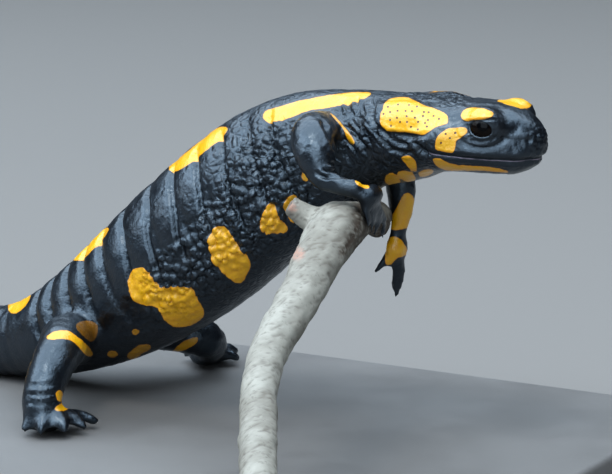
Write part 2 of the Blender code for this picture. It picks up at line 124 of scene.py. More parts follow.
def noise_at(points: Array, scale: float, seed: float = 0.0) -> Array:
    """Smooth noise at many points.

    Args:
        points: Points in millimetres.
        scale: Lumps per millimetre.
        seed: Shifts the pattern.

    Returns:
        One number a point, about -1 to 1.
    """
    return np.array([noise.noise(Vector(p)) for p in points * scale + seed])


def cells_at(points: Array, scale: float) -> Array:
    """Distance to the nearest cell centre, for grains.

    Args:
        points: Points in millimetres.
        scale: Cells per millimetre.

    Returns:
        One distance a point, in cells.
    """
    return np.array([noise.voronoi(Vector(p))[0][0] for p in points * scale])


def beads_at(points: Array, scale: float) -> Array:
    """Heights of tightly packed round beads.

    Args:
        points: Points in millimetres.
        scale: Beads per millimetre.

    Returns:
        One height a point, 0 in the gaps and 1 on top.
    """
    radius, seam = 0.80, 0.22
    gaps = np.array([noise.voronoi(Vector(p))[0][:2] for p in points * scale])
    dome = np.sqrt(np.clip(1 - (gaps[:, 0] / radius) ** 2, 0, 1))
    return dome * smooth_step(0.0, seam, gaps[:, 1] - gaps[:, 0])


@dataclass(frozen=True)
class PhotoView:
    """The camera that sees the animal as the photo does."""

    azimuth: float = 30.0
    elevation: float = 11.0
    distance: float = 380.0
    mm_per_pixel: float = 0.14
    width: int = 612
    height: int = 474
    aim: Triple = (-5.35, -18.55, 31.92)
    sensor: float = 36.0

    def axes(self) -> tuple[Array, Array, Array]:
        """Right, up and forward of the camera."""
        a, e = math.radians(self.azimuth), math.radians(self.elevation)
        right = np.array([math.cos(a), math.sin(a), 0.0])
        forward = np.array([-math.sin(a) * math.cos(e), math.cos(a) * math.cos(e), -math.sin(e)])
        return right, np.cross(right, forward), forward

    def eye(self) -> Array:
        """Where the camera stands, in the animal's frame."""
        return np.array(self.aim) - self.distance * self.axes()[2]

    def pixels(self, points: Array) -> Array:
        """Where points of the animal's frame fall in the picture.

        Args:
            points: Points in millimetres.

        Returns:
            Column and row of each, in pixels.
        """
        right, up, forward = self.axes()
        away = np.asarray(points, float) - self.eye()
        scale = self.distance / ((away @ forward) * self.mm_per_pixel)
        columns, rows = self.width / 2 + (away @ right) * scale, self.height / 2 - (away @ up) * scale
        return np.stack([columns, rows], 1)

    def facing(self, points: Array, normals: Array) -> Array:
        """How squarely the surface at each point faces the camera, from -1 to 1."""
        away = self.eye() - points
        return np.sum(normals * away, 1) / np.linalg.norm(away, axis=1)

    def build(self) -> bpy.types.Object:
        """Makes the camera and takes it as the scene's own."""
        data = bpy.data.cameras.new("photo_view")
        data.sensor_width = self.sensor
        data.lens = self.sensor * self.distance / (self.width * self.mm_per_pixel)
        data.clip_start, data.clip_end = 0.01, 20.0
        camera = bpy.data.objects.new("photo_view", data)
        right, up, forward = (Vector(axis) for axis in self.axes())
        turn = Matrix((right, up, -forward)).transposed().to_4x4()
        camera.matrix_world = Matrix.Translation(Vector(FRAME.to_row(self.eye()))) @ turn
        bpy.context.scene.collection.objects.link(camera)
        bpy.context.scene.camera = camera
        return camera


VIEW = PhotoView()


class CellPart(Enum):
    """What the distance in a pattern of cells is measured from."""

    CENTRES = "F1"
    EDGES = "DISTANCE_TO_EDGE"


class Nodes:
    """A small helper that adds and links the nodes of one material."""

    def __init__(self, name: str) -> None:
        """Starts a material with a Principled shader.

        Args:
            name: The material's name.
        """
        self.material = bpy.data.materials.new(name)
        self.material.use_nodes = True
        self.tree = self.material.node_tree
        self.shader = self.tree.nodes["Principled BSDF"]

    def add(self, kind: str, **settings: object) -> bpy.types.Node:
        """Adds a node and sets its properties.

        Args:
            kind: The node type's name without ShaderNode.
            settings: Properties of the node.

        Returns:
            The node.
        """
        node = self.tree.nodes.new("ShaderNode" + kind)
        for key, value in settings.items():
            setattr(node, key, value)
        return node

    def link(self, source: Socket, target: Socket) -> None:
        """Joins two sockets."""
        self.tree.links.new(source, target)

    def position(self) -> Socket:
        """Object coordinates in metres."""
        return self.add("TexCoord").outputs["Object"]

    def attribute(self, name: str) -> Socket:
        """A number kept on the mesh's points."""
        return self.add("Attribute", attribute_name=name).outputs["Fac"]

    def math(self, operation: str, *values: object) -> Socket:
        """A sum of sockets or numbers.

        Args:
            operation: The Math node's operation.
            values: Its sockets or numbers, in order.

        Returns:
            The result's socket.
        """
        node = self.add("Math", operation=operation)
        for socket, value in zip(node.inputs, values):
            if isinstance(value, Socket):
                self.link(value, socket)
            else:
                socket.default_value = value
        return node.outputs[0]

    def ramp(self, value: Socket, low: float, high: float, start: float = 0.0, end: float = 1.0) -> Socket:
        """A smooth change of a number.

        Args:
            value: The number read.
            low: Where the change starts.
            high: Where it ends.
            start: The result up to low.
            end: The result from high on.

        Returns:
            The result's socket.
        """
        node = self.add("MapRange", interpolation_type="SMOOTHSTEP", clamp=True)
        self.link(value, node.inputs["Value"])
        for key, number in (("From Min", low), ("From Max", high), ("To Min", start), ("To Max", end)):
            node.inputs[key].default_value = number
        return node.outputs[0]

    def mix(self, share: object, first: object, second: object) -> Socket:
        """A blend of two colours.

        Args:
            share: Socket or number, 0 for the first colour and 1 for the second.
            first: Socket or colour.
            second: Socket or colour.

        Returns:
            The colour's socket.
        """
        node = self.add("Mix", data_type="RGBA")
        for key, value in (("Factor", share), ("A", first), ("B", second)):
            socket = next(s for s in node.inputs if s.name == key and s.enabled)
            if isinstance(value, Socket):
                self.link(value, socket)
            elif key == "Factor":
                socket.default_value = value
            else:
                socket.default_value = (*value, 1.0)
        return next(s for s in node.outputs if s.enabled)

    def noise(
        self, per_metre: float, detail: float = 3.0, roughness: float = 0.55, stretch: Triple = (1, 1, 1)
    ) -> Socket:
        """Noise on Object coordinates.

        Args:
            per_metre: Lumps per metre.
            detail: Octaves.
            roughness: Strength of the finer octaves.
            stretch: Scale along each axis.

        Returns:
            The noise's number.
        """
        mapping = self.add("Mapping")
        mapping.inputs["Scale"].default_value = stretch
        self.link(self.position(), mapping.inputs["Vector"])
        node = self.add("TexNoise")
        self.link(mapping.outputs[0], node.inputs["Vector"])
        node.inputs["Scale"].default_value = per_metre
        node.inputs["Detail"].default_value = detail
        node.inputs["Roughness"].default_value = roughness
        return node.outputs["Fac"]

    def cells(self, per_metre: float, part: CellPart = CellPart.CENTRES) -> Socket:
        """Distance to the centres or edges of uneven cells on Object coordinates.

        Args:
            per_metre: Cells per metre.
            part: What the distance is measured from.

        Returns:
            The distance's number.
        """
        node = self.add("TexVoronoi", feature=part.value)
        self.link(self.position(), node.inputs["Vector"])
        node.inputs["Scale"].default_value = per_metre
        return node.outputs["Distance"]

    def bump(self, height: Socket, strength: float, metres: float, below: Socket | None = None) -> Socket:
        """A bump from a height.

        Args:
            height: The height's number.
            strength: How strong it is, 0 to 1.
            metres: The height of 1, in metres.
            below: Another bump's normal that this one adds to.

        Returns:
            The normal's socket.
        """
        node = self.add("Bump")
        node.inputs["Strength"].default_value = strength
        node.inputs["Distance"].default_value = metres
        self.link(height, node.inputs["Height"])
        if below is not None:
            self.link(below, node.inputs["Normal"])
        return node.outputs[0]

    def set(self, **values: object) -> None:
        """Sets or links the shader's sockets by name, with _ for a space."""
        for key, value in values.items():
            socket = self.shader.inputs[key.replace("_", " ")]
            if isinstance(value, Socket):
                self.link(value, socket)
            else:
                colour = isinstance(value, tuple) and len(value) == 3
                socket.default_value = (*value, 1.0) if colour else value


@dataclass(frozen=True)
class SkinFinish:
    """Moist black skin with yellow markings that follow the mesh's own values."""

    black: Triple = (0.0030, 0.0038, 0.0058)
    belly: Triple = (0.0055, 0.0052, 0.0066)
    yellow: Triple = (0.69, 0.360, 0.001)
    orange: Triple = (0.67, 0.285, 0.001)
    # The brown that markings are dimmed towards; on the throat's markings it is painted shade.
    rim: Triple = (0.17, 0.070, 0.004)
    pore: Triple = (0.09, 0.030, 0.004)
    # Painted highlight: the pale line along the lower lip.
    lip: Triple = (0.34, 0.27, 0.33)
    sheen: Triple = (0.68, 0.85, 1.0)
    ripple_height: float = 0.00016
    grain_height: float = 0.00006
    leather_height: float = 0.00016
    pore_depth: float = 0.00012
    marking_height: float = 0.00005
    lip_depth: float = 0.00022

    def yellows(self, n: Nodes, edge: Socket, dots: Socket) -> Socket:
        """The colour of the markings, warmer at their rims, darker in the pores, with painted shade in
        places.

        Args:
            n: The material's nodes.
            edge: Depth inside a marking, in millimetres.
            dots: 1 in a pore.

        Returns:
            The colour's socket.
        """
        warm = n.ramp(n.noise(700, 3.0), 0.40, 0.75)
        hue = n.mix(n.math("MULTIPLY", warm, 0.45), self.yellow, self.orange)
        hue = n.mix(n.ramp(edge, 0.0, 0.30), self.orange, hue)
        # Dims the yellow towards brown: painted shade on the throat's markings, and the brown knee patch.
        hue = n.mix(n.attribute("shade_and_brown"), hue, self.rim)
        return n.mix(dots, hue, self.pore)

    def blacks(self, n: Nodes, lip: Socket) -> Socket:
        """The colour of the black skin, with a painted highlight as a pale line along the lower lip.

        Args:
            n: The material's nodes.
            lip: Height above the line of the mouth, in millimetres.

        Returns:
            The colour's socket.
        """
        dark = n.mix(n.ramp(n.noise(260, 4.0), 0.3, 0.7), self.black, self.belly)
        # Painted highlight: a pale, uneven band just under the line of the mouth.
        under = n.math("MULTIPLY", n.ramp(lip, -0.30, -0.20), n.ramp(lip, -0.17, -0.09, 1.0, 0.0))
        under = n.math("MULTIPLY", under, n.ramp(n.noise(500, 2.0), 0.30, 0.62, 0.15, 0.65))
        return n.mix(under, dark, self.lip)

    def surface(self, n: Nodes, dots: Socket, inside: Socket, line: Socket) -> Socket:
        """The fine bumps of the skin: ripples, grains, creases, pores, markings and the line of the mouth.

        Args:
            n: The material's nodes.
            dots: 1 in a pore.
            inside: 1 inside a marking.
            line: 1 in the line of the mouth.

        Returns:
            The normal's socket.
        """
        grains = n.ramp(n.cells(2300), 0.10, 0.75, 1.0, 0.0)
        fine = n.noise(6200, 2.0)
        height = n.math("ADD", n.math("MULTIPLY", grains, 0.8), n.math("MULTIPLY", fine, 0.5))
        plates = n.ramp(n.cells(780, CellPart.EDGES), 0.0, 0.30)
        leather = n.math("MULTIPLY", n.attribute("leather"), plates)
        normal = n.bump(n.noise(1150, 3.0, 0.6), 0.45, self.ripple_height)
        normal = n.bump(height, 0.40, self.grain_height, normal)
        normal = n.bump(leather, 0.8, self.leather_height, normal)
        normal = n.bump(dots, 0.8, -self.pore_depth, normal)
        normal = n.bump(inside, 0.5, self.marking_height, normal)
        return n.bump(line, 1.0, -self.lip_depth, normal)

    def material(self) -> bpy.types.Material:
        """Builds the skin's material."""
        n = Nodes("moist_skin")
        ragged = n.math("MULTIPLY_ADD", n.noise(1400, 2.0), 0.16, -0.08)
        edge = n.math("ADD", n.attribute("marking"), ragged)
        inside = n.ramp(edge, -0.05, 0.05)
        dots = n.ramp(n.attribute("pore"), 0.42, 0.62)
        lip = n.attribute("lip")
        line = n.math("MULTIPLY", n.ramp(lip, -0.11, -0.02), n.ramp(lip, 0.02, 0.11, 1.0, 0.0))
        colour = n.mix(inside, self.blacks(n, lip), self.yellows(n, edge, dots))
        n.set(
            Base_Color=n.mix(line, colour, self.black),
            Roughness=n.ramp(n.noise(600, 4.0), 0.25, 0.8, 0.30, 0.48),
            Normal=self.surface(n, dots, inside, line),
            Specular_IOR_Level=0.86,
            Specular_Tint=self.sheen,
            Coat_Weight=0.15,
            Coat_Roughness=0.14,
            IOR=1.5,
        )
        return n.material


@dataclass(frozen=True)
class EyeFinish:
    """A wet, nearly black eye with a dark brown iris."""

    pupil: Triple = (0.002, 0.002, 0.0025)
    iris: Triple = (0.005, 0.0032, 0.0025)
    streak: float = 1.8

    def material(self) -> bpy.types.Material:
        """Builds the eye's material."""
        n = Nodes("wet_eye")
        streaks = n.noise(3500, 2.0)
        iris = n.mix(streaks, self.iris, tuple(self.streak * part for part in self.iris))
        n.set(
            Base_Color=n.mix(n.attribute("iris"), self.pupil, iris),
            Roughness=n.ramp(streaks, 0.3, 0.7, 0.16, 0.22),
            Coat_Weight=0.15,
            Coat_Roughness=0.07,
            IOR=1.15,
        )
        return n.material


@dataclass(frozen=True)
class BarkFinish:
    """Weathered grey wood with pale lichen, brown flecks, dark rind, bare patches, fine cracks and painted
    shade.
    """

    pale: Triple = (0.30, 0.285, 0.245)
    grey: Triple = (0.205, 0.19, 0.16)
    brown: Triple = (0.060, 0.042, 0.030)
    heart: Triple = (0.40, 0.27, 0.16)
    bare: Triple = (0.36, 0.215, 0.165)

    def material(self) -> bpy.types.Material:
        """Builds the branch's material."""
        n = Nodes("weathered_wood")
        patches = n.ramp(n.noise(120, 4.0, 0.6), 0.35, 0.65)
        colour = n.mix(patches, self.grey, self.pale)
        flecks = n.ramp(n.noise(900, 3.0, 0.7), 0.58, 0.7)
        grain = n.ramp(n.noise(1500, 2.0, 0.5, (1.0, 0.22, 0.9)), 0.3, 0.62)
        colour = n.mix(n.math("MULTIPLY", flecks, 0.35), colour, self.brown)
        colour = n.mix(n.math("MULTIPLY", n.math("SUBTRACT", 1.0, grain), 0.12), colour, self.brown)
        # Painted shade: the cracks are darker brown.
        colour = n.mix(n.math("MULTIPLY", n.attribute("crack_shade"), 0.45), colour, self.brown)
        # Dark rind, and painted shade towards the bottom past the knob.
        rind_and_shade_patches = n.math("MULTIPLY", n.attribute("rind_and_shade"), n.ramp(n.noise(1100, 3.0, 0.7), 0.22, 0.46))
        colour = n.mix(rind_and_shade_patches, colour, self.brown)
        colour = n.mix(n.attribute("cut"), colour, self.heart)
        torn = n.ramp(n.noise(1300, 3.0, 0.7), 0.32, 0.56, 0.25, 1.0)
        peeled = n.math("MULTIPLY", n.attribute("bare"), torn)
        colour = n.mix(n.ramp(peeled, 0.10, 0.90), colour, self.bare)
        height = n.math("ADD", n.math("MULTIPLY", grain, 0.6), n.math("MULTIPLY", flecks, -0.4))
        normal = n.bump(height, 0.22, 0.0001)
        normal = n.bump(n.noise(3800, 2.0), 0.35, 0.00006, normal)
        rough = n.ramp(patches, 0.0, 1.0, 0.82, 0.68)
        n.set(Base_Color=colour, Roughness=rough, Normal=normal, Specular_IOR_Level=0.3)
        return n.material


@dataclass(frozen=True)
class BoardFinish:
    """Matt grey paint on a smooth board."""

    paint: Triple = (0.125, 0.118, 0.112)
    worn: Triple = (0.150, 0.142, 0.135)

    def material(self) -> bpy.types.Material:
        """Builds the board's material."""
        n = Nodes("grey_paint")
        cloud = n.ramp(n.noise(45, 5.0, 0.6), 0.3, 0.7)
        peel = n.noise(2600, 2.0)
        n.set(
            Base_Color=n.mix(cloud, self.paint, self.worn),
            Roughness=n.ramp(cloud, 0.0, 1.0, 0.5, 0.62),
            Normal=n.bump(peel, 0.25, 0.00004),
            Specular_IOR_Level=0.4,
        )
        return n.material


@dataclass(frozen=True)
class SteelFinish:
    """Brushed steel, with its brushing round the rod."""

    steel: Triple = (0.56, 0.56, 0.57)
    groove: float = 0.8

    def material(self) -> bpy.types.Material:
        """Builds the rod's material."""
        n = Nodes("brushed_steel")
        rings = n.noise(900, 2.0, 0.5, (0.2, 0.2, 14.0))
        n.set(
            Base_Color=n.mix(rings, self.steel, tuple(self.groove * part for part in self.steel)),
            Metallic=1.0,
            Roughness=n.ramp(rings, 0.2, 0.8, 0.25, 0.4),
            Normal=n.bump(rings, 0.2, 0.00002),
        )
        return n.material


@dataclass(frozen=True)
class FloorFinish:
    """The plain pale floor."""

    pale: Triple = (0.185, 0.172, 0.16)

    def material(self) -> bpy.types.Material:
        """Builds the floor's material."""
        n = Nodes("pale_floor")
        n.set(Base_Color=self.pale, Roughness=0.7, Specular_IOR_Level=0.3)
        return n.material


class Region(Enum):
    """The parts of the animal that a marking or crease may lie on, with their nodes."""

    TRUNK = (
        "head", "lower_jaw", "neck", "torso_chest", "torso_belly", "torso_loin",
        "tail_base", "tail_middle", "tail_tip",
    )
    ARM_RIGHT = ("upper_arm_right", "forearm_right", "hand_right")
    ARM_LEFT = ("upper_arm_left", "forearm_left", "hand_left")
    LEG_RIGHT = ("thigh_right", "shank_right", "foot_right")
    LEG_LEFT = ("thigh_left", "shank_left", "foot_left")

    def holds(self, region: Array) -> Array:
        """Which points, told by their place in Region, belong to this one."""
        return region == list(Region).index(self)


@dataclass(frozen=True)
class Marking:
    """A yellow patch, by its outline in pixels of the photo's frame.

    A patch of the trunk lies on both flanks unless it is one_sided, and far is for one on the left side. The
    last field goes from 0, yellow, to 1, brown; on the throat's markings this dimming is painted shade.
    """

    outline: Corners
    region: Region = Region.TRUNK
    one_sided: bool = False
    far: bool = False
    shade_and_brown: float = 0.0


@dataclass(frozen=True)
class Crease:
    """A fold of the skin along a line of pixels, its size in millimetres. A negative depth makes a ridge."""

    path: Corners
    depth: float = 0.3
    width: float = 0.35
    region: Region = Region.TRUNK
    one_sided: bool = False
    far: bool = False


PAROTOID = (
    (380, 119), (381, 113), (383, 108), (384.5, 103), (388, 100), (392, 98), (400, 96.7), (406.7, 97.2),
    (413, 99.4), (419, 102.8), (425.6, 105.8), (433, 107.8), (440, 110.6), (445.6, 113.3), (447.8, 116.7),
    (448.3, 121), (446.7, 124), (441, 125.6), (434.4, 127.8), (430, 131), (424.4, 134.4), (420, 135),
    (413, 133.3), (406.7, 132.2), (399, 132.2), (391, 131.7), (386.7, 130.6), (382.8, 127.8), (380.6, 123.3),
)
CHEEK = (
    (460, 127.2), (462.2, 127.8), (464.2, 134.4), (461.7, 137.2), (456, 140.6), (456, 144.4), (454.4, 150),
    (452.2, 152.8), (447.8, 152), (442, 151), (435.6, 149.8), (434.8, 145.6), (435.6, 141), (437.2, 136.7),
    (441, 132.8), (445.6, 129.4), (450, 128), (455.6, 127.6),
)
NEAR_BROW = (
    (460.6, 115.6), (462.8, 111), (466.7, 108.3), (471, 107.2), (479, 107.8), (485.6, 108.7), (491, 111),
    (494, 113.3), (492.2, 116.7), (487.8, 118.3), (479, 118.7), (470, 119), (464.4, 120.6), (461.7, 119),
)
FAR_BROW = (
    (496.7, 100.6), (502, 99), (509, 97.2), (518, 96.7), (525.6, 98.3), (530, 100.6), (531.7, 104),
    (531, 106.7), (527.8, 108.3), (519, 108.7), (509, 108.3), (503.3, 105), (499, 102.8),
)
JAW_STRIPE = (
    (432.8, 158.3), (436.7, 157.8), (441, 158.3), (445.6, 161), (451, 164), (459, 165.6), (470, 165.6),
    (481, 166), (492, 167.2), (503, 169.4), (511, 171.7), (507.8, 173), (492, 171.3), (475.6, 170.6),
    (459, 171), (447.8, 170.6), (441, 169), (435.6, 165.6), (433.3, 162.2),
)
THROAT = (
    (
        (401, 157.8), (404.4, 155.6), (411, 155.6), (415, 160), (417, 165.6), (416.7, 171), (414, 172.2),
        (410, 169), (405.6, 164),
    ),
    (
        (396.7, 172), (402, 170.6), (409, 171), (414.4, 174.4), (416, 179), (414.4, 182), (409, 182),
        (402, 180), (398, 176.7),
    ),
    (
        (390.6, 172), (396, 174.4), (399.4, 179), (400.6, 183), (397.8, 186.7), (391, 186.7), (385.6, 183),
        (384.4, 179), (386.7, 174.4),
    ),
    ((418.6, 171.6), (425, 169.4), (433, 168.8), (434, 172.2), (428.4, 176), (421.6, 177.6), (418.4, 175)),
)
BACK = (
    (
        (262.9, 115.7), (264.3, 111.4), (268.6, 109.3), (281.4, 106.4), (294.3, 102), (310, 98.6),
        (324.3, 95.7), (350, 92), (371, 92), (371, 95), (362, 100), (350, 103.6), (338.6, 105.7),
        (324.3, 108.6), (310, 110), (300, 113.6), (288.6, 118.6), (277, 122), (267, 122), (263.6, 119.3),
    ),
    (
        (168.6, 169.3), (169.3, 165), (177, 159.3), (188.6, 150.7), (198.6, 142), (210, 132), (218.6, 127),
        (226.4, 126.4), (228.3, 130), (224.3, 135.7), (215.7, 143.6), (205.7, 151.4), (194.3, 160.7),
        (184.3, 168), (175.7, 172), (170.7, 171.4),
    ),
    (
        (70, 256.4), (80, 250.7), (88.6, 240.7), (97, 232), (105.7, 227), (110, 228.6), (105.7, 236.4),
        (98.6, 244.3), (91.4, 252), (84.3, 259.3), (77, 261.4), (71.4, 260),
    ),
    ((7, 306.4), (11.4, 300.7), (21.4, 295), (30, 293), (31.4, 297), (25.7, 306.4), (17, 313.6), (10, 313.6)),
)
FLANK = (
    (
        (140, 267), (145.7, 268), (150, 274.3), (154.3, 280.7), (158.6, 286.4), (164.3, 288.6), (170, 286.7),
        (180, 287), (190, 286.7), (194.3, 291.4), (197, 298), (201.4, 305), (204.6, 312), (203, 318),
        (195.7, 323.6), (187, 327), (174.3, 327.4), (167, 323.6), (163, 318), (160, 310.7), (154.3, 306.4),
        (145.7, 306.7), (138.6, 305), (133.6, 300.7), (130, 293.6), (127.4, 285), (128, 276.4), (131.4, 270),
    ),
    (
        (208.6, 236.4), (211.4, 230.7), (215.7, 226.4), (223, 225.7), (228.6, 229.3), (233, 236.4),
        (237, 245), (241.4, 251.4), (247, 255.7), (250.7, 262), (250.7, 269.3), (246.4, 275), (243.6, 282),
        (238.6, 283.6), (231.4, 280.7), (223, 273.6), (215.7, 266.4), (211.4, 259.3), (210, 252),
        (207.4, 243.6),
    ),
    (
        (271.4, 203), (275.7, 206.4), (278.6, 216.4), (281.4, 222), (288.6, 226.4), (287, 232),
        (278.6, 233.6), (271.4, 233.6), (267, 236), (261.4, 230.7), (259.3, 223.6), (261.4, 216.4),
        (264.3, 210.7), (267, 205),
    ),
    (
        (283, 209.3), (283.6, 203.6), (287, 198), (291.4, 194.3), (296, 195), (300, 208), (298.6, 222),
        (293, 223), (287, 216.4),
    ),
    ((300.7, 176.4), (303, 170.7), (305.7, 168.6), (310, 176.4), (307, 182), (303.6, 181.4)),
)
SHOULDER_STRIP = (
    (329, 112.2), (335, 116), (341.6, 123.6), (348, 131.2), (353.5, 137.7), (356.2, 143), (353.5, 144.8),
    (349.7, 144.2), (347.5, 140), (343.8, 130), (337.2, 121.5), (331.8, 115.5),
)
WRIST_DASH = ((352.6, 180.4), (362, 181.2), (370, 186), (368.6, 189.2), (359, 186.8))
FAR_FOREARM = (
    (403.5, 193), (411.6, 193), (416.2, 203), (414.7, 216.3), (409.6, 227.6), (401.4, 229.6), (393.3, 230.6),
    (388.2, 227.6), (389.2, 220.4), (395.3, 210.2), (400.4, 200),
)
FAR_HAND = (
    (387, 237.8), (396.3, 235.7), (403.5, 241.8), (407.6, 250), (405.5, 256), (396.3, 258.2), (391.2, 265.3),
    (386, 266.3), (384.6, 256), (385, 246),
)
KNEE_ARC = (
    (45.7, 336.4), (53, 332), (61.4, 330), (68.6, 330.4), (77, 336.4), (85.7, 343.6), (92, 350.7),
    (93, 355.7), (88.6, 357), (84.3, 354.3), (78.6, 346.4), (70, 339.3), (61.4, 338.6), (53, 339.3),
    (47, 339.3),
)
KNEE_PATCH = ((74.3, 326.4), (80, 320.7), (93, 320.7), (98.6, 326.4), (97, 336.4), (91.4, 343.6), (83, 336.4))
GROIN = (
    (
        (126.4, 355), (133, 349.3), (140, 344.3), (151.4, 344.3), (150, 350.7), (141.4, 353.6),
        (135.7, 360.7), (128.6, 359.3),
    ),
    ((106.5, 354), (109, 350.6), (114, 350.2), (118.5, 353), (117, 357.2), (110, 357.8)),
    ((131, 332), (133.5, 329), (138, 329.4), (140.2, 332.4), (137, 335.2), (132.6, 335)),
)
HIND_STREAK = (
    (167, 355.7), (171.4, 352), (180, 343.6), (190, 338), (199.3, 336.4), (197, 343.6), (185.7, 350),
    (174.3, 353.6),
)
ANKLE_SPOT = ((55.8, 392), (59.4, 389.6), (63.4, 392), (63.6, 399), (60.4, 402.4), (56.6, 399.5))
TOE_PATCH = ((53.4, 409.3), (58.4, 404.4), (66.6, 401.4), (75.7, 402.6), (71.4, 407.6), (60, 412.4))

MARKINGS: tuple[Marking, ...] = (
    Marking(PAROTOID),
    Marking(CHEEK),
    Marking(NEAR_BROW, one_sided=True),
    Marking(FAR_BROW, one_sided=True, far=True),
    Marking(JAW_STRIPE),
    # The throat's markings are dimmed a little: painted shade.
    *(Marking(outline, shade_and_brown=0.12) for outline in THROAT),
    *(Marking(outline) for outline in BACK),
    *(Marking(outline) for outline in FLANK),
    Marking(SHOULDER_STRIP, shade_and_brown=0.1),
    Marking(SHOULDER_STRIP, Region.ARM_RIGHT, shade_and_brown=0.1),
    Marking(WRIST_DASH, Region.ARM_RIGHT),
    Marking(FAR_FOREARM, Region.ARM_LEFT),
    Marking(FAR_HAND, Region.ARM_LEFT),
    Marking(KNEE_ARC, Region.LEG_RIGHT),
    Marking(KNEE_PATCH, Region.LEG_RIGHT, shade_and_brown=0.95),
    Marking(KNEE_PATCH, one_sided=True, shade_and_brown=0.95),
    *(Marking(outline, shade_and_brown=0.55) for outline in GROIN),
    *(Marking(outline, Region.LEG_RIGHT, shade_and_brown=0.55) for outline in GROIN),
    Marking(HIND_STREAK, Region.LEG_LEFT, shade_and_brown=0.3),
    Marking(ANKLE_SPOT, Region.LEG_RIGHT),
    Marking(TOE_PATCH, Region.LEG_RIGHT, shade_and_brown=0.2),
)


def fan(first: Corners, last: Corners, count: int, depth: float, width: float) -> tuple[Crease, ...]:
    """A row of creases that runs evenly from one line to another.

    Args:
        first: The first line, in pixels.
        last: The last line, with as many corners.
        count: How many creases there are.
        depth: Their depth in millimetres.
        width: Their half width in millimetres.

    Returns:
        The creases, each a little uneven.
    """
    drift, sway, change = 0.03, 1.1, 0.25
    rows = []
    for index in range(count):
        share = index / (count - 1) + drift * math.sin(5.0 * index)
        path = [
            (
                a[0] + share * (b[0] - a[0]) + sway * math.sin(2.7 * index + 1.9 * place),
                a[1] + share * (b[1] - a[1]) + sway * math.cos(1.7 * index + 2.3 * place),
            )
            for place, (a, b) in enumerate(zip(first, last))
        ]
        rows.append(Crease(tuple(path), depth * (1 + change * math.sin(3.1 * index)), width))
    return tuple(rows)


CREASES: tuple[Crease, ...] = (
    *fan(
        ((339, 120), (352, 134), (363, 146), (372, 160)), ((368, 108), (377, 124), (387, 137), (402, 150)),
        7, 0.38, 0.27,
    ),
    *fan(((347, 97), (346, 106), (350, 117)), ((376, 95), (373, 106), (377, 119)), 6, 0.34, 0.26),
    *fan(((340, 134), (350, 147), (362, 160)), ((344, 152), (350, 160), (357, 169)), 3, 0.34, 0.26),
    *fan(((334, 105), (336, 112), (341, 118)), ((346, 103), (348, 110), (352, 118)), 3, 0.2, 0.24),
    Crease(((378, 131), (372, 122), (371, 110), (376, 97)), 0.35, 0.35),
    Crease(((461, 121.5), (470, 120.6), (480, 119.8), (490, 119.4), (498, 120.5)), 0.22, 0.16),
    Crease(((462, 136), (470, 141.5), (481, 143), (492, 140.6), (499, 135.6), (503, 130)), 0.16, 0.2),
    Crease(((456, 139), (468, 145), (482, 147), (496, 144), (508, 136)), 0.20, 0.40),
    Crease(((448, 149), (464, 151), (482, 152), (500, 152.5), (518, 153), (536, 150)), -0.34, 1.0),
    Crease(((497, 141), (506, 137), (515, 131), (522, 124)), 0.16, 0.55),
    Crease(((412, 138), (417, 145.6), (423, 152), (430, 156.7)), 0.4, 0.3),
    Crease(((391, 137), (399, 142), (410, 145.6)), 0.4, 0.3),
    Crease(((382, 140), (392, 150), (405, 152.5), (418, 153)), 0.3, 0.3),
    Crease(((379, 118), (380, 127), (386, 133.5), (400, 135.5), (419, 137), (431, 133)), 0.35, 0.35),
    Crease(((376, 160), (385, 168), (392, 170), (402, 169)), 0.3, 0.3),
    Crease(((320, 115), (329, 133), (341.6, 159.4)), 0.4, 0.4, Region.ARM_RIGHT),
    Crease(((321, 170), (334, 171.5), (346, 171)), 0.35, 0.25, Region.ARM_RIGHT),
    Crease(((318, 175), (332, 177), (347, 176)), 0.25, 0.25, Region.ARM_RIGHT),
    Crease(((313, 171), (321, 176), (331, 180)), 0.3, 0.25, Region.ARM_RIGHT),
    Crease(((327, 163), (338, 165), (350, 163)), 0.2, 0.25, Region.ARM_RIGHT),
    Crease(((22, 394), (38, 395), (58, 393)), 0.3, 0.3, Region.LEG_RIGHT),
    Crease(((24, 402), (40, 403.5), (58, 401)), 0.3, 0.3, Region.LEG_RIGHT),
    Crease(((26, 386), (42, 386), (60, 383)), 0.2, 0.3, Region.LEG_RIGHT),
)

PORES: Corners = (
    (388, 107), (390, 112), (397.6, 111), (405.6, 111), (412, 111), (424, 112), (428.7, 112), (390, 120),
    (397, 118), (406.7, 116.4), (415, 117.8), (423, 116), (433.6, 116), (400, 122), (407, 122), (418, 122),
    (425, 123), (428, 120), (427, 126.7), (398, 104.5), (409, 105), (417, 106.5), (383.5, 114), (391, 126),
    (411, 127), (418, 129.5), (439, 119), (445.6, 134), (450, 138.3), (441, 143), (455, 133),
)


@dataclass(frozen=True)
class TailSpot:
    """A yellow spot by its place along and above the spine, its sides (-1 right, 1 left) and half sizes."""

    along: float
    height: float
    sides: tuple[int, ...]
    length: float
    breadth: float


@dataclass(frozen=True)
class LimbSpot:
    """A round yellow spot of a limb, in millimetres."""

    centre: Triple
    radius: float


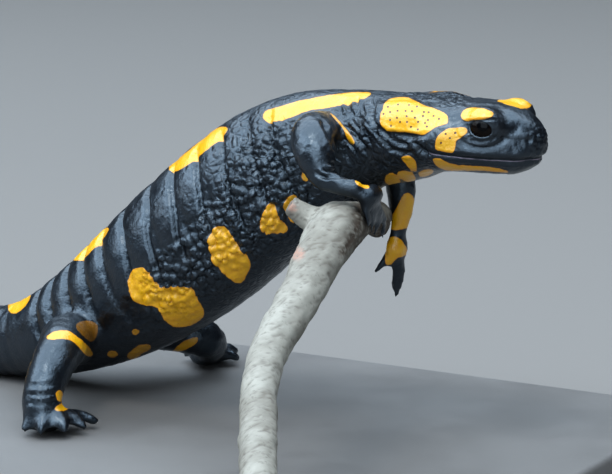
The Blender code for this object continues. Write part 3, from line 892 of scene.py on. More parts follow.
TAIL_SPOTS: tuple[TailSpot, ...] = (
    TailSpot(112.0, 0.55, (-1,), 3.6, 0.55), TailSpot(119.0, -0.05, (-1, 1), 2.6, 0.45),
    TailSpot(127.0, 0.60, (-1, 1), 4.2, 0.55), TailSpot(137.0, 0.10, (1,), 3.0, 0.5),
    TailSpot(140.0, 0.55, (-1,), 3.2, 0.6), TailSpot(149.0, 0.6, (-1, 1), 3.4, 0.6),
    TailSpot(158.0, 0.2, (-1,), 2.4, 0.7), TailSpot(163.0, 0.6, (1,), 2.8, 0.8),
    TailSpot(172.0, 0.3, (-1, 1), 1.8, 0.9),
)
LIMB_SPOTS: tuple[LimbSpot, ...] = (LimbSpot((-9.4, 9.0, 44.6), 2.6), LimbSpot((-49.8, 10.5, 12.2), 3.1))


def rounded_outline(outline: Corners, passes: int = 2) -> Array:
    """An outline with its corners cut off again and again.

    Args:
        outline: The corners, in pixels.
        passes: How often they are cut.

    Returns:
        The rounder outline's corners.
    """
    corners = np.array(outline, float)
    for _ in range(passes):
        after = np.roll(corners, -1, 0)
        corners = np.stack([0.75 * corners + 0.25 * after, 0.25 * corners + 0.75 * after], 1).reshape(-1, 2)
    return corners


def stretch_gap(points: Array, start: Array, end: Array) -> tuple[Array, Array]:
    """How far points lie from a straight stretch.

    Args:
        points: Columns and rows.
        start: Where the stretch starts.
        end: Where it ends.

    Returns:
        The distance in pixels, and how far along the stretch the nearest place is, from 0 to 1.
    """
    step, away = end - start, points - start
    share = np.clip((away @ step) / max(step @ step, TINY), 0, 1)
    return np.hypot(*(away - share[:, None] * step).T), share


def depth_inside(points: Array, outline: Corners) -> Array:
    """How far points lie inside an outline.

    Args:
        points: Columns and rows.
        outline: The outline's corners.

    Returns:
        The distance to the outline in pixels, negative outside.
    """
    corners = rounded_outline(outline)
    best = np.full(len(points), FAR_AWAY)
    inside = np.zeros(len(points), bool)
    for start, end in zip(corners, np.roll(corners, -1, 0)):
        best = np.minimum(best, stretch_gap(points, start, end)[0])
        step, down = end - start, points[:, 1] - start[1]
        if abs(step[1]) > TINY:
            crossed = (start[1] > points[:, 1]) != (end[1] > points[:, 1])
            inside ^= crossed & (points[:, 0] < start[0] + down * step[0] / step[1])
    return np.where(inside, best, -best)


def distance_to_path(points: Array, path: Corners) -> tuple[Array, Array]:
    """How far points lie from an open line.

    Args:
        points: Columns and rows.
        path: The line's corners.

    Returns:
        The distance in pixels, and how far along the line the nearest place is, from 0 to 1.
    """
    line = np.array(path, float)
    lengths = np.hypot(*np.diff(line, axis=0).T)
    starts = np.concatenate([[0], np.cumsum(lengths)])
    best, along = np.full(len(points), FAR_AWAY), np.zeros(len(points))
    for index, (start, end) in enumerate(zip(line, line[1:])):
        gap, share = stretch_gap(points, start, end)
        nearer = gap < best
        best = np.where(nearer, gap, best)
        along = np.where(nearer, starts[index] + share * lengths[index], along)
    return best, along / starts[-1]


def within(points: Array, corners: Corners, margin: float) -> Array:
    """Which points lie in the box round some corners, widened by a margin."""
    low, high = np.min(corners, 0) - margin, np.max(corners, 0) + margin
    return np.all((points > low) & (points < high), 1)


def read_line(line: Corners, places: Array) -> Array:
    """The second number of a line of corners at each place along its first."""
    columns = np.array(line, float)
    return np.interp(places, columns[:, 0], columns[:, 1])


def remeshed(source: bmesh.types.BMesh, voxel: float, name: str) -> bmesh.types.BMesh:
    """One closed surface of even quads round the solids of a mesh.

    Args:
        source: Closed solids, in millimetres. It is freed.
        voxel: The size of the quads, in millimetres.
        name: The name of the mesh while it is made.

    Returns:
        The largest closed surface.
    """
    mesh = bpy.data.meshes.new(name + "_rough")
    source.to_mesh(mesh)
    source.free()
    rough = bpy.data.objects.new(name + "_rough", mesh)
    bpy.context.scene.collection.objects.link(rough)
    modifier = rough.modifiers.new("even", "REMESH")
    modifier.mode, modifier.voxel_size, modifier.adaptivity = "VOXEL", voxel, 0.0
    graph = bpy.context.evaluated_depsgraph_get()
    even = bpy.data.meshes.new_from_object(rough.evaluated_get(graph))
    bpy.data.objects.remove(rough)
    result = bmesh.new()
    result.from_mesh(even)
    bpy.data.meshes.remove(even)
    bpy.data.meshes.remove(mesh)
    keep_largest(result)
    return result


def keep_largest(work: bmesh.types.BMesh) -> None:
    """Removes all but the largest connected surface of a mesh.

    Args:
        work: The mesh.
    """
    seen: set[bmesh.types.BMVert] = set()
    groups: list[list[bmesh.types.BMVert]] = []
    for first in work.verts:
        if first in seen:
            continue
        group, waiting = [], [first]
        seen.add(first)
        while waiting:
            vert = waiting.pop()
            group.append(vert)
            for edge in vert.link_edges:
                other = edge.other_vert(vert)
                if other not in seen:
                    seen.add(other)
                    waiting.append(other)
        groups.append(group)
    groups.sort(key=len)
    for group in groups[:-1]:
        bmesh.ops.delete(work, geom=group, context="VERTS")


def solids_of(frame: dict, names: tuple[str, ...]) -> bmesh.types.BMesh:
    """Copies of CAD nodes in one mesh, merged, in the animal's own millimetres.

    Args:
        frame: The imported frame.
        names: The nodes' names.

    Returns:
        The mesh.
    """
    work = bmesh.new()
    for name in names:
        work.from_mesh(frame["nodes"][name].data)
    bmesh.ops.remove_doubles(work, verts=work.verts, dist=1e-6)
    bmesh.ops.scale(work, vec=(PER_METRE, PER_METRE, PER_METRE), verts=work.verts)
    bmesh.ops.translate(work, vec=[-part for part in FRAME.shift], verts=work.verts)
    work.normal_update()
    return work


def swell(work: bmesh.types.BMesh, amount: float) -> None:
    """Moves every point of a mesh outward.

    Args:
        work: The mesh.
        amount: How far, in millimetres; inward where it is negative.
    """
    work.normal_update()
    for vert, normal in [(vert, vert.normal.copy()) for vert in work.verts]:
        vert.co += normal * amount


def soften(work: bmesh.types.BMesh, verts: list[bmesh.types.BMVert], times: int) -> None:
    """Smooths some points of a mesh a number of times.

    Args:
        work: The mesh.
        verts: The points.
        times: How often they are smoothed.
    """
    for _ in range(times):
        bmesh.ops.smooth_vert(
            work, verts=verts, factor=0.5, use_axis_x=True, use_axis_y=True, use_axis_z=True
        )


def rounded(work: bmesh.types.BMesh, edges: list[bmesh.types.BMEdge], size: float, segments: int) -> None:
    """Rounds some edges of a mesh.

    Args:
        work: The mesh.
        edges: The edges.
        size: How far the rounding reaches from each.
        segments: Its number of faces.
    """
    bmesh.ops.bevel(
        work, geom=edges, offset=size, affect="EDGES", segments=segments, profile=0.5, material=-1
    )


def arrays_of(work: bmesh.types.BMesh) -> tuple[Array, Array]:
    """Points and normals of a mesh as arrays."""
    work.normal_update()
    return np.array([v.co[:] for v in work.verts]), np.array([v.normal[:] for v in work.verts])


def put_points(work: bmesh.types.BMesh, points: Array) -> None:
    """Gives a mesh its points."""
    for vert, point in zip(work.verts, points):
        vert.co = point


def finished(
    work: bmesh.types.BMesh, name: str, material: bpy.types.Material, values: dict[str, Array] | None = None
) -> bpy.types.Object:
    """Turns a mesh in millimetres into a piece in the row's metres.

    Args:
        work: The mesh. It is freed.
        name: The piece's name.
        material: Its material.
        values: Numbers a point, by attribute name.

    Returns:
        The piece.
    """
    put_points(work, FRAME.to_row(np.array([v.co[:] for v in work.verts])))
    work.normal_update()
    bmesh.ops.recalc_face_normals(work, faces=work.faces)
    mesh = bpy.data.meshes.new(name)
    work.to_mesh(mesh)
    work.free()
    mesh.materials.append(material)
    mesh.polygons.foreach_set("use_smooth", [True] * len(mesh.polygons))
    for key, numbers in (values or {}).items():
        mesh.attributes.new(key, "FLOAT", "POINT").data.foreach_set("value", np.asarray(numbers, np.float32))
    piece = bpy.data.objects.new(name, mesh)
    bpy.context.scene.collection.objects.link(piece)
    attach(piece, "root")
    return piece


@dataclass
class Spine:
    """The line through the middle of the body: x, y and z, then its half width, rise and drop."""

    rows: tuple[tuple[float, ...], ...] = (
        (22.6, 0, 43.9, 6.8, 4.6, 4.3), (15.2, 0, 45.0, 8.1, 5.1, 4.9),
        (8.0, 0, 45.3, 9.4, 4.9, 5.4), (1.5, 0, 44.8, 8.7, 5.4, 7.0),
        (-4.5, 0, 43.3, 7.7, 6.8, 6.9), (-12.5, 0, 39.8, 8.8, 9.9, 8.6),
        (-22.5, 0, 33.4, 10.2, 12.0, 9.8), (-34.4, 0, 24.8, 11.1, 12.0, 10.8),
        (-45.0, 0, 16.9, 10.2, 10.8, 9.7), (-54.0, 0, 11.6, 8.7, 8.9, 8.3),
        (-61.5, 0, 8.0, 7.4, 7.3, 6.8), (-68.5, 0, 6.0, 6.0, 6.0, 5.8),
        (-80.0, 0, 5.1, 4.9, 5.2, 5.2), (-98.0, -1.6, 4.5, 3.9, 4.4, 4.4),
        (-112.0, -7.2, 3.7, 3.1, 3.6, 3.6), (-121.5, -17.6, 2.7, 2.0, 2.5, 2.5),
        (-124.5, -33.0, 1.7, 0.8, 1.1, 1.3),
    )

    def read(self, points: Array) -> tuple[Array, Array, Array]:
        """Body coordinates of points.

        Args:
            points: Points in millimetres.

        Returns:
            Distance from the snout along the spine, height above it in body heights (-1 belly to 1 back),
            and side (-1 right to 1 left).
        """
        table = np.array(self.rows, float)
        middle, halves = table[:, :3], table[:, 3:]
        lengths = np.linalg.norm(np.diff(middle, axis=0), axis=1)
        starts = np.concatenate([[0], np.cumsum(lengths)])
        best = np.full(len(points), FAR_AWAY)
        along, height, side = (np.zeros(len(points)) for _ in range(3))
        for index, length in enumerate(lengths):
            step = (middle[index + 1] - middle[index]) / length
            left = np.cross([0, 0, 1.0], step)
            left /= np.linalg.norm(left)
            up = np.cross(step, left)
            up *= np.sign(up[2])
            away = points - middle[index]
            reach = np.clip(away @ step, 0, length)
            rest = away - reach[:, None] * step
            gap = np.linalg.norm(rest, axis=1)
            nearer = gap < best
            sizes = halves[index] + (reach / length)[:, None] * (halves[index + 1] - halves[index])
            lift, turn = rest @ up, -1.0 if left[1] < 0 else 1.0
            best = np.where(nearer, gap, best)
            along = np.where(nearer, starts[index] + reach, along)
            height = np.where(nearer, lift / np.where(lift > 0, sizes[:, 1], sizes[:, 2]), height)
            side = np.where(nearer, (rest @ left) / sizes[:, 0] * turn, side)
        return along, height, side


@dataclass
class Eye:
    """One eye: its ball, which way it looks, and the slit between its lids.

    Sizes are in millimetres. slit holds the slit's half length and height, and slit_place its middle, along
    and up the face from the ball's own. cornea is the height and half width of the bulge in front, and iris
    is where the ring starts, is full, fades and ends. The skin lies tuck under the ball in the slit, and
    lid_rise over it beside the slit. folds are the height and depth of the two folds below.
    """

    side: float
    centre: Triple = (15.6, 5.1, 47.3)
    radius: float = 2.3
    lid: float = 2.9
    gaze: Triple = (0.34, 0.90, 0.22)
    slit: tuple[float, float] = (1.98, 1.28)
    slit_place: tuple[float, float] = (-0.36, -0.68)
    segments: tuple[int, int] = (64, 40)
    cornea: tuple[float, float] = (0.10, 1.1)
    iris: tuple[float, float, float, float] = (0.75, 0.95, 1.5, 1.8)
    tuck: float = 0.25
    lid_rise: float = 0.12
    folds: tuple[float, float] = (0.16, 0.10)

    def middle(self) -> Array:
        """The ball's centre."""
        return np.array(self.centre) * (1, self.side, 1)

    def axes(self) -> Array:
        """Forward along the face, up, and outward, as rows."""
        out = np.array(self.gaze) * (1, self.side, 1)
        out /= np.linalg.norm(out)
        front = np.array([1.0, 0, -0.12])
        front -= (front @ out) * out
        front /= np.linalg.norm(front)
        up = np.cross(out, front)
        return np.stack([front, up * np.sign(up[2]), out])

    def build(self, name: str, material: bpy.types.Material) -> bpy.types.Object:
        """Builds the ball with its iris ring, its poles in line with the gaze.

        Args:
            name: The piece's name.
            material: The eye's material.

        Returns:
            The piece.
        """
        work = bmesh.new()
        round_it, down = self.segments
        bmesh.ops.create_uvsphere(work, u_segments=round_it, v_segments=down, radius=self.radius)
        points, _ = arrays_of(work)
        ring, ahead = np.hypot(points[:, 0], points[:, 1]), points[:, 2] > 0
        bulge, bulge_width = self.cornea
        turned = points @ self.axes() + self.axes()[2] * (bulge * bell(ring, bulge_width) * ahead)[:, None]
        put_points(work, turned + self.middle())
        start, full, fading, end = self.iris
        iris = smooth_step(start, full, ring) * (1 - smooth_step(fading, end, ring)) * ahead
        return finished(work, name, material, {"iris": iris})

    def lidded(self, points: Array) -> Array:
        """The skin's points, with the lids shaped round the ball.

        Args:
            points: The skin's points.

        Returns:
            The moved points.
        """
        away = points - self.middle()
        local = away @ self.axes().T
        reach = np.linalg.norm(away, axis=1)
        direction = away / np.maximum(reach, TINY)[:, None]
        across, upward = local[:, 0] - self.slit_place[0], local[:, 1] - self.slit_place[1]
        oval = np.hypot(across / self.slit[0], upward / self.slit[1])
        front = (local[:, 2] > 0.2) & (reach < self.lid + 1.4)
        opening = (1 - smooth_step(0.93, 1.05, oval)) * front
        wanted = self.radius - self.tuck
        inward = np.where(reach > wanted, wanted - reach, 0.0) * opening
        level = np.clip(self.radius + self.lid_rise - reach, -1, 1) * bell(oval - 1.06, 0.34)
        level = level * front * (1 - opening)
        under = 1 - smooth_step(-0.6, 0.2, upward)
        high, deep = self.folds
        fold = under * (high * bell(oval - 1.50, 0.16) - deep * bell(oval - 1.82, 0.10)) * front
        fold = fold + 0.02 * (bell(oval - 1.13, 0.13) * front)
        return points + direction * (inward + 0.9 * level + fold * (1 - opening))[:, None]


@dataclass
class Skin:
    """The one skin over the head, trunk, tail and limbs, with its folds, grains, lids, mouth and markings.

    Sizes are in millimetres. grooves are places along the spine. groove_lean and wart_top are lines of such
    a place and the lean or height there, and mouth is a line of x and z. lips holds the heights of the upper
    and the lower one. left_drop is how many pixels lower a marking lies on the left flank.
    """

    eyes: tuple[Eye, ...]
    spine: Spine = field(default_factory=Spine)
    voxel: float = 0.56
    swelling: float = 0.30
    growth: float = 0.04
    grooves: tuple[float, ...] = (38.0, 42.0, 46.8, 51.5, 56.6, 62.2, 68.2, 73.6, 79.0, 83.8, 88.2, 92.0)
    groove_lean: Corners = ((38, 0.6), (46, 1.3), (56, 3.2), (65, 3.6), (74, 1.2), (80, 0.3), (92, 0.0))
    groove_depth: float = 0.42
    ridge_height: float = 0.30
    bank_height: float = 0.45
    bank_place: float = 2.1
    wart_size: float = 1.25
    wart_height: float = 0.62
    wart_top: Corners = ((34, 0.80), (42, 0.62), (50, 0.30), (58, 0.10), (68, -0.05), (80, -0.15))
    ring_pitch: float = 2.5
    ring_depth: float = 0.16
    grain_height: float = 0.10
    crown_height: float = 0.42
    snout_height: float = 0.22
    mouth: Corners = ((8.6, 43.7), (13.0, 43.3), (16.0, 43.0), (19.5, 42.75), (24.5, 42.8))
    mouth_depth: float = 0.22
    mouth_corner: tuple[float, float] = (8.4, 43.75)
    corner_depth: float = 0.35
    lips: tuple[float, float] = (0.14, 0.10)
    lip_place: float = 0.72
    mouth_fill_size: Triple = (9.6, 6.2, 0.9)
    mouth_fill_place: Triple = (11.8, 0.0, 43.25)
    nostril: Triple = (21.6, 2.9, 45.6)
    nostril_depth: float = 0.75
    nostril_rim: float = 0.07
    pore_radius: float = 0.18
    left_drop: float = 4.0
    deepest: float = 2.0
    px_to_mm: float = 0.14

    def nodes(self) -> tuple[str, ...]:
        """The CAD nodes that the skin stands for."""
        return tuple(name for region in Region for name in region.value)

    def above_mouth(self, points: Array) -> Array:
        """Heights of points above the line of the mouth."""
        return points[:, 2] - read_line(self.mouth, points[:, 0])

    def sheet(self, frame: dict) -> bmesh.types.BMesh:
        """One smooth surface round all flesh nodes, finer where its forms are small.

        Args:
            frame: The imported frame.

        Returns:
            The mesh, in millimetres.
        """
        work = solids_of(frame, self.nodes())
        for eye in self.eyes:
            made = bmesh.ops.create_icosphere(work, subdivisions=4, radius=eye.lid)
            bmesh.ops.translate(work, vec=eye.middle(), verts=made["verts"])
        made = bmesh.ops.create_uvsphere(work, u_segments=32, v_segments=16, radius=1.0)
        bmesh.ops.scale(work, vec=self.mouth_fill_size, verts=made["verts"])
        bmesh.ops.translate(work, vec=self.mouth_fill_place, verts=made["verts"])
        swell(work, self.swelling)
        work = remeshed(work, self.voxel, "skin")
        soften(work, work.verts[:], 4)
        points, _ = arrays_of(work)
        lips = (points[:, 0] > 7.4) & (np.abs(self.above_mouth(points)) < 1.0)
        soften(work, [vert for vert, close in zip(work.verts, lips) if close], 14)
        swell(work, self.growth - self.swelling)
        self.split(work, self.busy(arrays_of(work)[0]))
        points, _ = arrays_of(work)
        soften(work, work.verts[:], 1)
        self.split(work, self.small_forms(points))
        return work

    def busy(self, points: Array) -> Array:
        """Which points lie on the upper head and neck or on the ribs of the chest.

        Args:
            points: The skin's points.

        Returns:
            Whether each does.
        """
        along, height, _ = self.spine.read(points)
        head = (along < 34) & (height > -0.65)
        ribs = (along > 33) & (along < 69) & (height > -0.6) & (height < 0.8)
        return (head | ribs) & ((points[:, 2] > 30) | (points[:, 0] < -2))

    def small_forms(self, points: Array) -> Array:
        """Which points lie on the glands of the head, the small markings of the limbs, or round the eyes.

        Args:
            points: The skin's points.

        Returns:
            Whether each does.
        """
        chosen = np.zeros(len(points), bool)
        for side in (-1, 1):
            close = (points[:, 1] * side > 3) & (points[:, 0] > -8)
            pixels = VIEW.pixels(points * (1, -side, 1))
            for outline in (PAROTOID, CHEEK):
                chosen |= close & (depth_inside(pixels, outline) > -1)
        pixels = VIEW.pixels(points)
        for outline in (WRIST_DASH, SHOULDER_STRIP, ANKLE_SPOT, TOE_PATCH):
            chosen |= (points[:, 1] < 0) & (depth_inside(pixels, outline) > -4)
        for eye in self.eyes:
            chosen |= np.linalg.norm(points - eye.middle(), axis=1) < eye.radius + 1.1
        return chosen

    def split(self, work: bmesh.types.BMesh, chosen: Array) -> None:
        """Makes the mesh finer between the chosen points.

        Args:
            work: The mesh.
            chosen: Which of its points are chosen.
        """
        inside = {vert for vert, taken in zip(work.verts, chosen) if taken}
        edges = [edge for edge in work.edges if edge.verts[0] in inside and edge.verts[1] in inside]
        bmesh.ops.subdivide_edges(work, edges=edges, cuts=1, use_grid_fill=True)
        bmesh.ops.triangulate(work, faces=[face for face in work.faces if len(face.verts) > 4])

    def regions(self, frame: dict, points: Array) -> Array:
        """Which region each point belongs to.

        Args:
            frame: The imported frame.
            points: The skin's points.

        Returns:
            The region's place in Region, one a point.
        """
        gaps = []
        for region in Region:
            work = solids_of(frame, region.value)
            spots = [v.co.copy() for v in work.verts]
            spots += [f.calc_center_median() for f in work.faces]
            spots += [(e.verts[0].co + e.verts[1].co) / 2 for e in work.edges]
            tree = kdtree.KDTree(len(spots))
            for count, spot in enumerate(spots):
                tree.insert(spot, count)
            tree.balance()
            work.free()
            gaps.append([tree.find(p)[2] for p in points])
        return np.argmin(np.array(gaps), 0)

    def views(self, points: Array, normals: Array) -> dict[bool, tuple[Array, Array]]:
        """The pixel and the facing of each point, as it lies and mirrored to the other flank.

        Args:
            points: The skin's points.
            normals: Their normals.

        Returns:
            By whether it is mirrored: pixels, and 1 where the surface faces the camera.
        """
        seen = {}
        for mirrored in (False, True):
            turn = np.array([1, -1, 1]) if mirrored else np.array([1, 1, 1])
            facing = VIEW.facing(points * turn, normals * turn)
            seen[mirrored] = (VIEW.pixels(points * turn), smooth_step(-0.05, 0.10, facing))
        return seen

    def reach_of(self, points: Array, region: Array, mark: Marking | Crease) -> list[tuple[bool, Array]]:
        """Where a marking or crease may lie.

        Args:
            points: The skin's points.
            region: The region of each.
            mark: The marking or crease.

        Returns:
            Pairs of whether the flank is mirrored and which points it covers.
        """
        here = mark.region.holds(region)
        if mark.region is not Region.TRUNK:
            return [(False, here)]
        right, left = here & (points[:, 1] <= 0), here & (points[:, 1] > 0)
        if mark.far:
            return [(False, left)]
        return [(False, right)] if mark.one_sided else [(False, right), (True, left)]

    def creased(self, points: Array, normals: Array, region: Array) -> Array:
        """The points, moved into the creases.

        Args:
            points: The skin's points.
            normals: Their normals.
            region: The region of each.

        Returns:
            The moved points.
        """
        views = self.views(points, normals)
        sink = np.zeros(len(points))
        for crease in CREASES:
            for mirrored, here in self.reach_of(points, region, crease):
                pixels, facing = views[mirrored]
                near = here & (facing > 0) & within(pixels, crease.path, 12)
                if not near.any():
                    continue
                gap, along = distance_to_path(pixels[near], crease.path)
                gap = gap * self.px_to_mm
                taper = smooth_step(0, 0.25, along) * (1 - smooth_step(0.75, 1.0, along))
                bank = bell(gap - self.bank_place * crease.width, crease.width)
                shape = bell(gap, crease.width) - self.bank_height * bank
                sink[near] = sink[near] + crease.depth * shape * taper * facing[near]
        return points - normals * sink[:, None]

    def pores(self, points: Array, region: Array, views: dict[bool, tuple[Array, Array]]) -> Array:
        """Nearness of each point to a pore of the glands.

        Args:
            points: The skin's points.
            region: The region of each.
            views: The pixel and the facing of each, by whether it is mirrored.

        Returns:
            1 in the middle of a pore, 0 away from it.
        """
        pore = np.zeros(len(points))
        for mirrored, side in ((False, -1), (True, 1)):
            near = Region.TRUNK.holds(region) & (points[:, 1] * side > 2.5) & (points[:, 0] > -8)
            pixels, facing = (value[near] for value in views[mirrored])
            gaps = np.min([np.hypot(*(pixels - place).T) for place in PORES], 0)
            pore[near] = bell(gaps * self.px_to_mm, self.pore_radius) * (facing > 0.3)
        return pore

    def marked(self, points: Array, normals: Array, region: Array) -> dict[str, Array]:
        """The markings' values at each point.

        Args:
            points: The skin's points.
            normals: Their normals.
            region: The region of each.

        Returns:
            By attribute name: depth inside a marking in millimetres, dimming towards brown (painted shade on
                the
            throat's markings), nearness to a pore, height above the line of the mouth, and how leathery the
            skin is.
        """
        views = self.views(points, normals)
        best, shade_and_brown = np.full(len(points), -self.deepest), np.zeros(len(points))
        for mark in MARKINGS:
            for mirrored, here in self.reach_of(points, region, mark):
                pixels, facing = views[mirrored]
                pixels = pixels - (0, self.left_drop) if mirrored else pixels
                near = here & (facing > 0.1) & within(pixels, mark.outline, 10)
                if not near.any():
                    continue
                depth = np.full(len(points), -self.deepest)
                inside = depth_inside(pixels[near], mark.outline) * self.px_to_mm
                depth[near] = np.clip(inside, -self.deepest, self.deepest)
                won = depth > best
                best, shade_and_brown = np.where(won, depth, best), np.where(won, mark.shade_and_brown, shade_and_brown)
        best = np.maximum(best, self.hidden_spots(points, region))
        trunk, x = Region.TRUNK.holds(region), points[:, 0]
        lip = np.clip(self.above_mouth(points), -self.deepest, self.deepest)
        lip = np.where(trunk & (x > self.mouth[0][0]), lip, self.deepest)
        leather = trunk * smooth_step(-34, -24, x) * (1 - smooth_step(8.5, 13.0, x))
        leather = leather * (1 - smooth_step(-0.5, 0.0, best)) * smooth_step(0.3, 0.6, np.abs(lip))
        pore = self.pores(points, region, views)
        return {"marking": best, "shade_and_brown": shade_and_brown, "pore": pore, "lip": lip, "leather": leather}

    def hidden_spots(self, points: Array, region: Array) -> Array:
        """Depth inside the spots of the sides that the photo doesn't show.

        Args:
            points: The skin's points.
            region: The region of each.

        Returns:
            The depth in millimetres, negative outside.
        """
        along, height, side = self.spine.read(points)
        trunk = Region.TRUNK.holds(region)
        wobble = 0.35 * noise_at(points, 0.45, 7.0)
        best = np.full(len(points), -self.deepest)
        for spot in TAIL_SPOTS:
            gap = np.hypot((along - spot.along) / spot.length, (height - spot.height) / spot.breadth)
            inside = (1 - gap) * min(spot.length, 3.0) + wobble
            for sign in spot.sides:
                best = np.where(trunk & (side * sign > 0.0), np.maximum(best, inside), best)
        for spot in LIMB_SPOTS:
            gap = np.linalg.norm(points - spot.centre, axis=1)
            best = np.where(~trunk, np.maximum(best, spot.radius - gap + wobble), best)
        return np.clip(best, -self.deepest, self.deepest)

    def ribs(self, body: Array, along: Array, height: Array, slow: Array) -> Array:
        """The ridges and grooves of the flanks.

        Args:
            body: 1 from the shoulders to the hips, 0 elsewhere.
            along: Distance along the spine.
            height: Height above it, in body heights.
            slow: Slow noise, which bends the grooves.

        Returns:
            One height a point, in millimetres.
        """
        lean = read_line(self.groove_lean, along)
        place = along - lean * np.clip(0.6 - height, 0, 1.6) + 0.45 * slow
        gap = np.min([np.abs(place - groove) for groove in self.grooves], 0)
        upper = smooth_step(-0.55, 0.05, height) * (1 - smooth_step(0.86, 1.0, height))
        ridge = self.ridge_height * (smooth_step(0.0, 0.9, gap) - 0.8)
        return body * upper * (ridge - self.groove_depth * bell(gap, 0.34))

    def wart_cover(self, body: Array, along: Array, height: Array, medium: Array) -> Array:
        """Where the beaded glands cover the lower flank.

        Args:
            body: 1 from the shoulders to the hips, 0 elsewhere.
            along: Distance along the spine.
            height: Height above it, in body heights.
            medium: Noise, which makes their edge uneven.

        Returns:
            1 where they lie, 0 elsewhere.
        """
        over = height - read_line(self.wart_top, along) + 0.18 * medium
        low_flank = smooth_step(-1.0, -0.6, height) * (1 - smooth_step(-0.14, 0.10, over))
        return body * low_flank * (1 - 0.75 * smooth_step(64, 84, along))

    def head_forms(
        self, points: Array, head: Array, trunk: Array, marking: Array, medium: Array, fine: Array
    ) -> tuple[Array, Array, Array]:
        """The grain of the head, the folds of the crown and the beads of the snout.

        Args:
            points: The skin's points.
            head: 1 on the head, 0 elsewhere.
            trunk: Which of the points belong to the trunk.
            marking: Their depth inside a marking.
            medium: Noise.
            fine: Finer noise.

        Returns:
            Three heights a point, in millimetres.
        """
        pits = np.clip(cells_at(points, 1.35), 0, 0.9)
        crown = trunk * bell(points[:, 0] - 5.5, 6.0) * smooth_step(46.2, 47.6, points[:, 2])
        crown = crown * (1 - smooth_step(-0.6, -0.1, marking))
        folds = 0.30 - np.abs(noise_at(points * (1.0, 0.7, 1.0), 0.95, 31.0)) ** 0.5
        snout = trunk * smooth_step(20.0, 22.8, points[:, 0])
        return (
            head * (0.035 * (0.5 - pits) + 0.03 * medium),
            crown * self.crown_height * folds,
            snout * (0.05 * fine + self.snout_height * (beads_at(points, 1.4) - 0.6)),
        )

    def relief(self, points: Array, region: Array, marking: Array) -> Array:
        """How far the skin's own forms stand out of the smooth surface.

        Args:
            points: The skin's points.
            region: The region of each.
            marking: Their depth inside a marking.

        Returns:
            One height a point, in millimetres.
        """
        along, height, _ = self.spine.read(points)
        trunk = Region.TRUNK.holds(region)
        slow, medium = noise_at(points, 0.22, 3.0), noise_at(points, 0.75, 11.0)
        fine = noise_at(points, 1.9, 23.0)
        small = np.clip(cells_at(points, 1.25), 0, 1)
        first, last = self.grooves[0], self.grooves[-1]
        body = trunk * smooth_step(first - 4, first, along) * (1 - smooth_step(last + 1, last + 5, along))
        out = 0.05 * medium + 0.025 * fine
        out += self.ribs(body, along, height, slow)
        warts = self.wart_cover(body, along, height, medium)
        dome = beads_at(points + 0.25 * np.stack([slow, medium, fine], 1), 1 / self.wart_size) - 0.55
        out += warts * self.wart_height * dome
        quiet = trunk * smooth_step(26, 32, along) * (1 - warts)
        out += quiet * self.grain_height * (0.5 - small)
        ring = (along + 0.6 * slow) / self.ring_pitch
        tail = trunk * smooth_step(last + 4, last + 9, along) * (1 - smooth_step(165, 176, along))
        out -= tail * self.ring_depth * bell((ring - np.round(ring)) * self.ring_pitch, 0.4)
        out += ~trunk * (0.07 * medium + 0.08 * (0.5 - small))
        head = trunk * (1 - smooth_step(22, 28, along))
        for form in self.head_forms(points, head, trunk, marking, medium, fine):
            out += form
        return out

    def mouthed(self, points: Array, normals: Array, region: Array) -> Array:
        """The points, with the line of the mouth, the lips and the nostrils.

        Args:
            points: The skin's points.
            normals: Their normals.
            region: The region of each.

        Returns:
            The moved points.
        """
        above, trunk, x = self.above_mouth(points), Region.TRUNK.holds(region), points[:, 0]
        level = np.hypot(normals[:, 0], normals[:, 1])
        here = trunk * smooth_step(8.2, 10.0, x) * smooth_step(0.5, 0.75, level)
        upper, lower = self.lips
        lips = upper * bell(above - self.lip_place, 0.40) + lower * bell(above + self.lip_place, 0.40)
        from_corner = np.hypot(x - self.mouth_corner[0], points[:, 2] - self.mouth_corner[1])
        corner = self.corner_depth * bell(from_corner, 0.8) * trunk * (np.abs(points[:, 1]) > 5)
        out = here * (lips - self.mouth_depth * bell(above, 0.26)) - corner
        for side in (-1, 1):
            hole = np.linalg.norm(points - np.array(self.nostril) * (1, side, 1), axis=1)
            rim = self.nostril_rim * bell(hole - 0.8, 0.3)
            out += (rim - self.nostril_depth * bell(hole, 0.34)) * (hole < 2)
        return points + normals * out[:, None]

    def build(self, frame: dict, material: bpy.types.Material) -> bpy.types.Object:
        """Builds and dresses the skin.

        Args:
            frame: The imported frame.
            material: The skin's material.

        Returns:
            The piece.
        """
        work = self.sheet(frame)
        points, normals = arrays_of(work)
        region = self.regions(frame, points)
        LOG.info("skin has %d points", len(points))
        values = self.marked(points, normals, region)
        points = points + normals * self.relief(points, region, values["marking"])[:, None]
        points = self.creased(points, normals, region)
        points = self.mouthed(points, normals, region)
        for eye in self.eyes:
            points = eye.lidded(points)
        put_points(work, points)
        piece = finished(work, "skin", material, values)
        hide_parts(*self.nodes())
        return piece


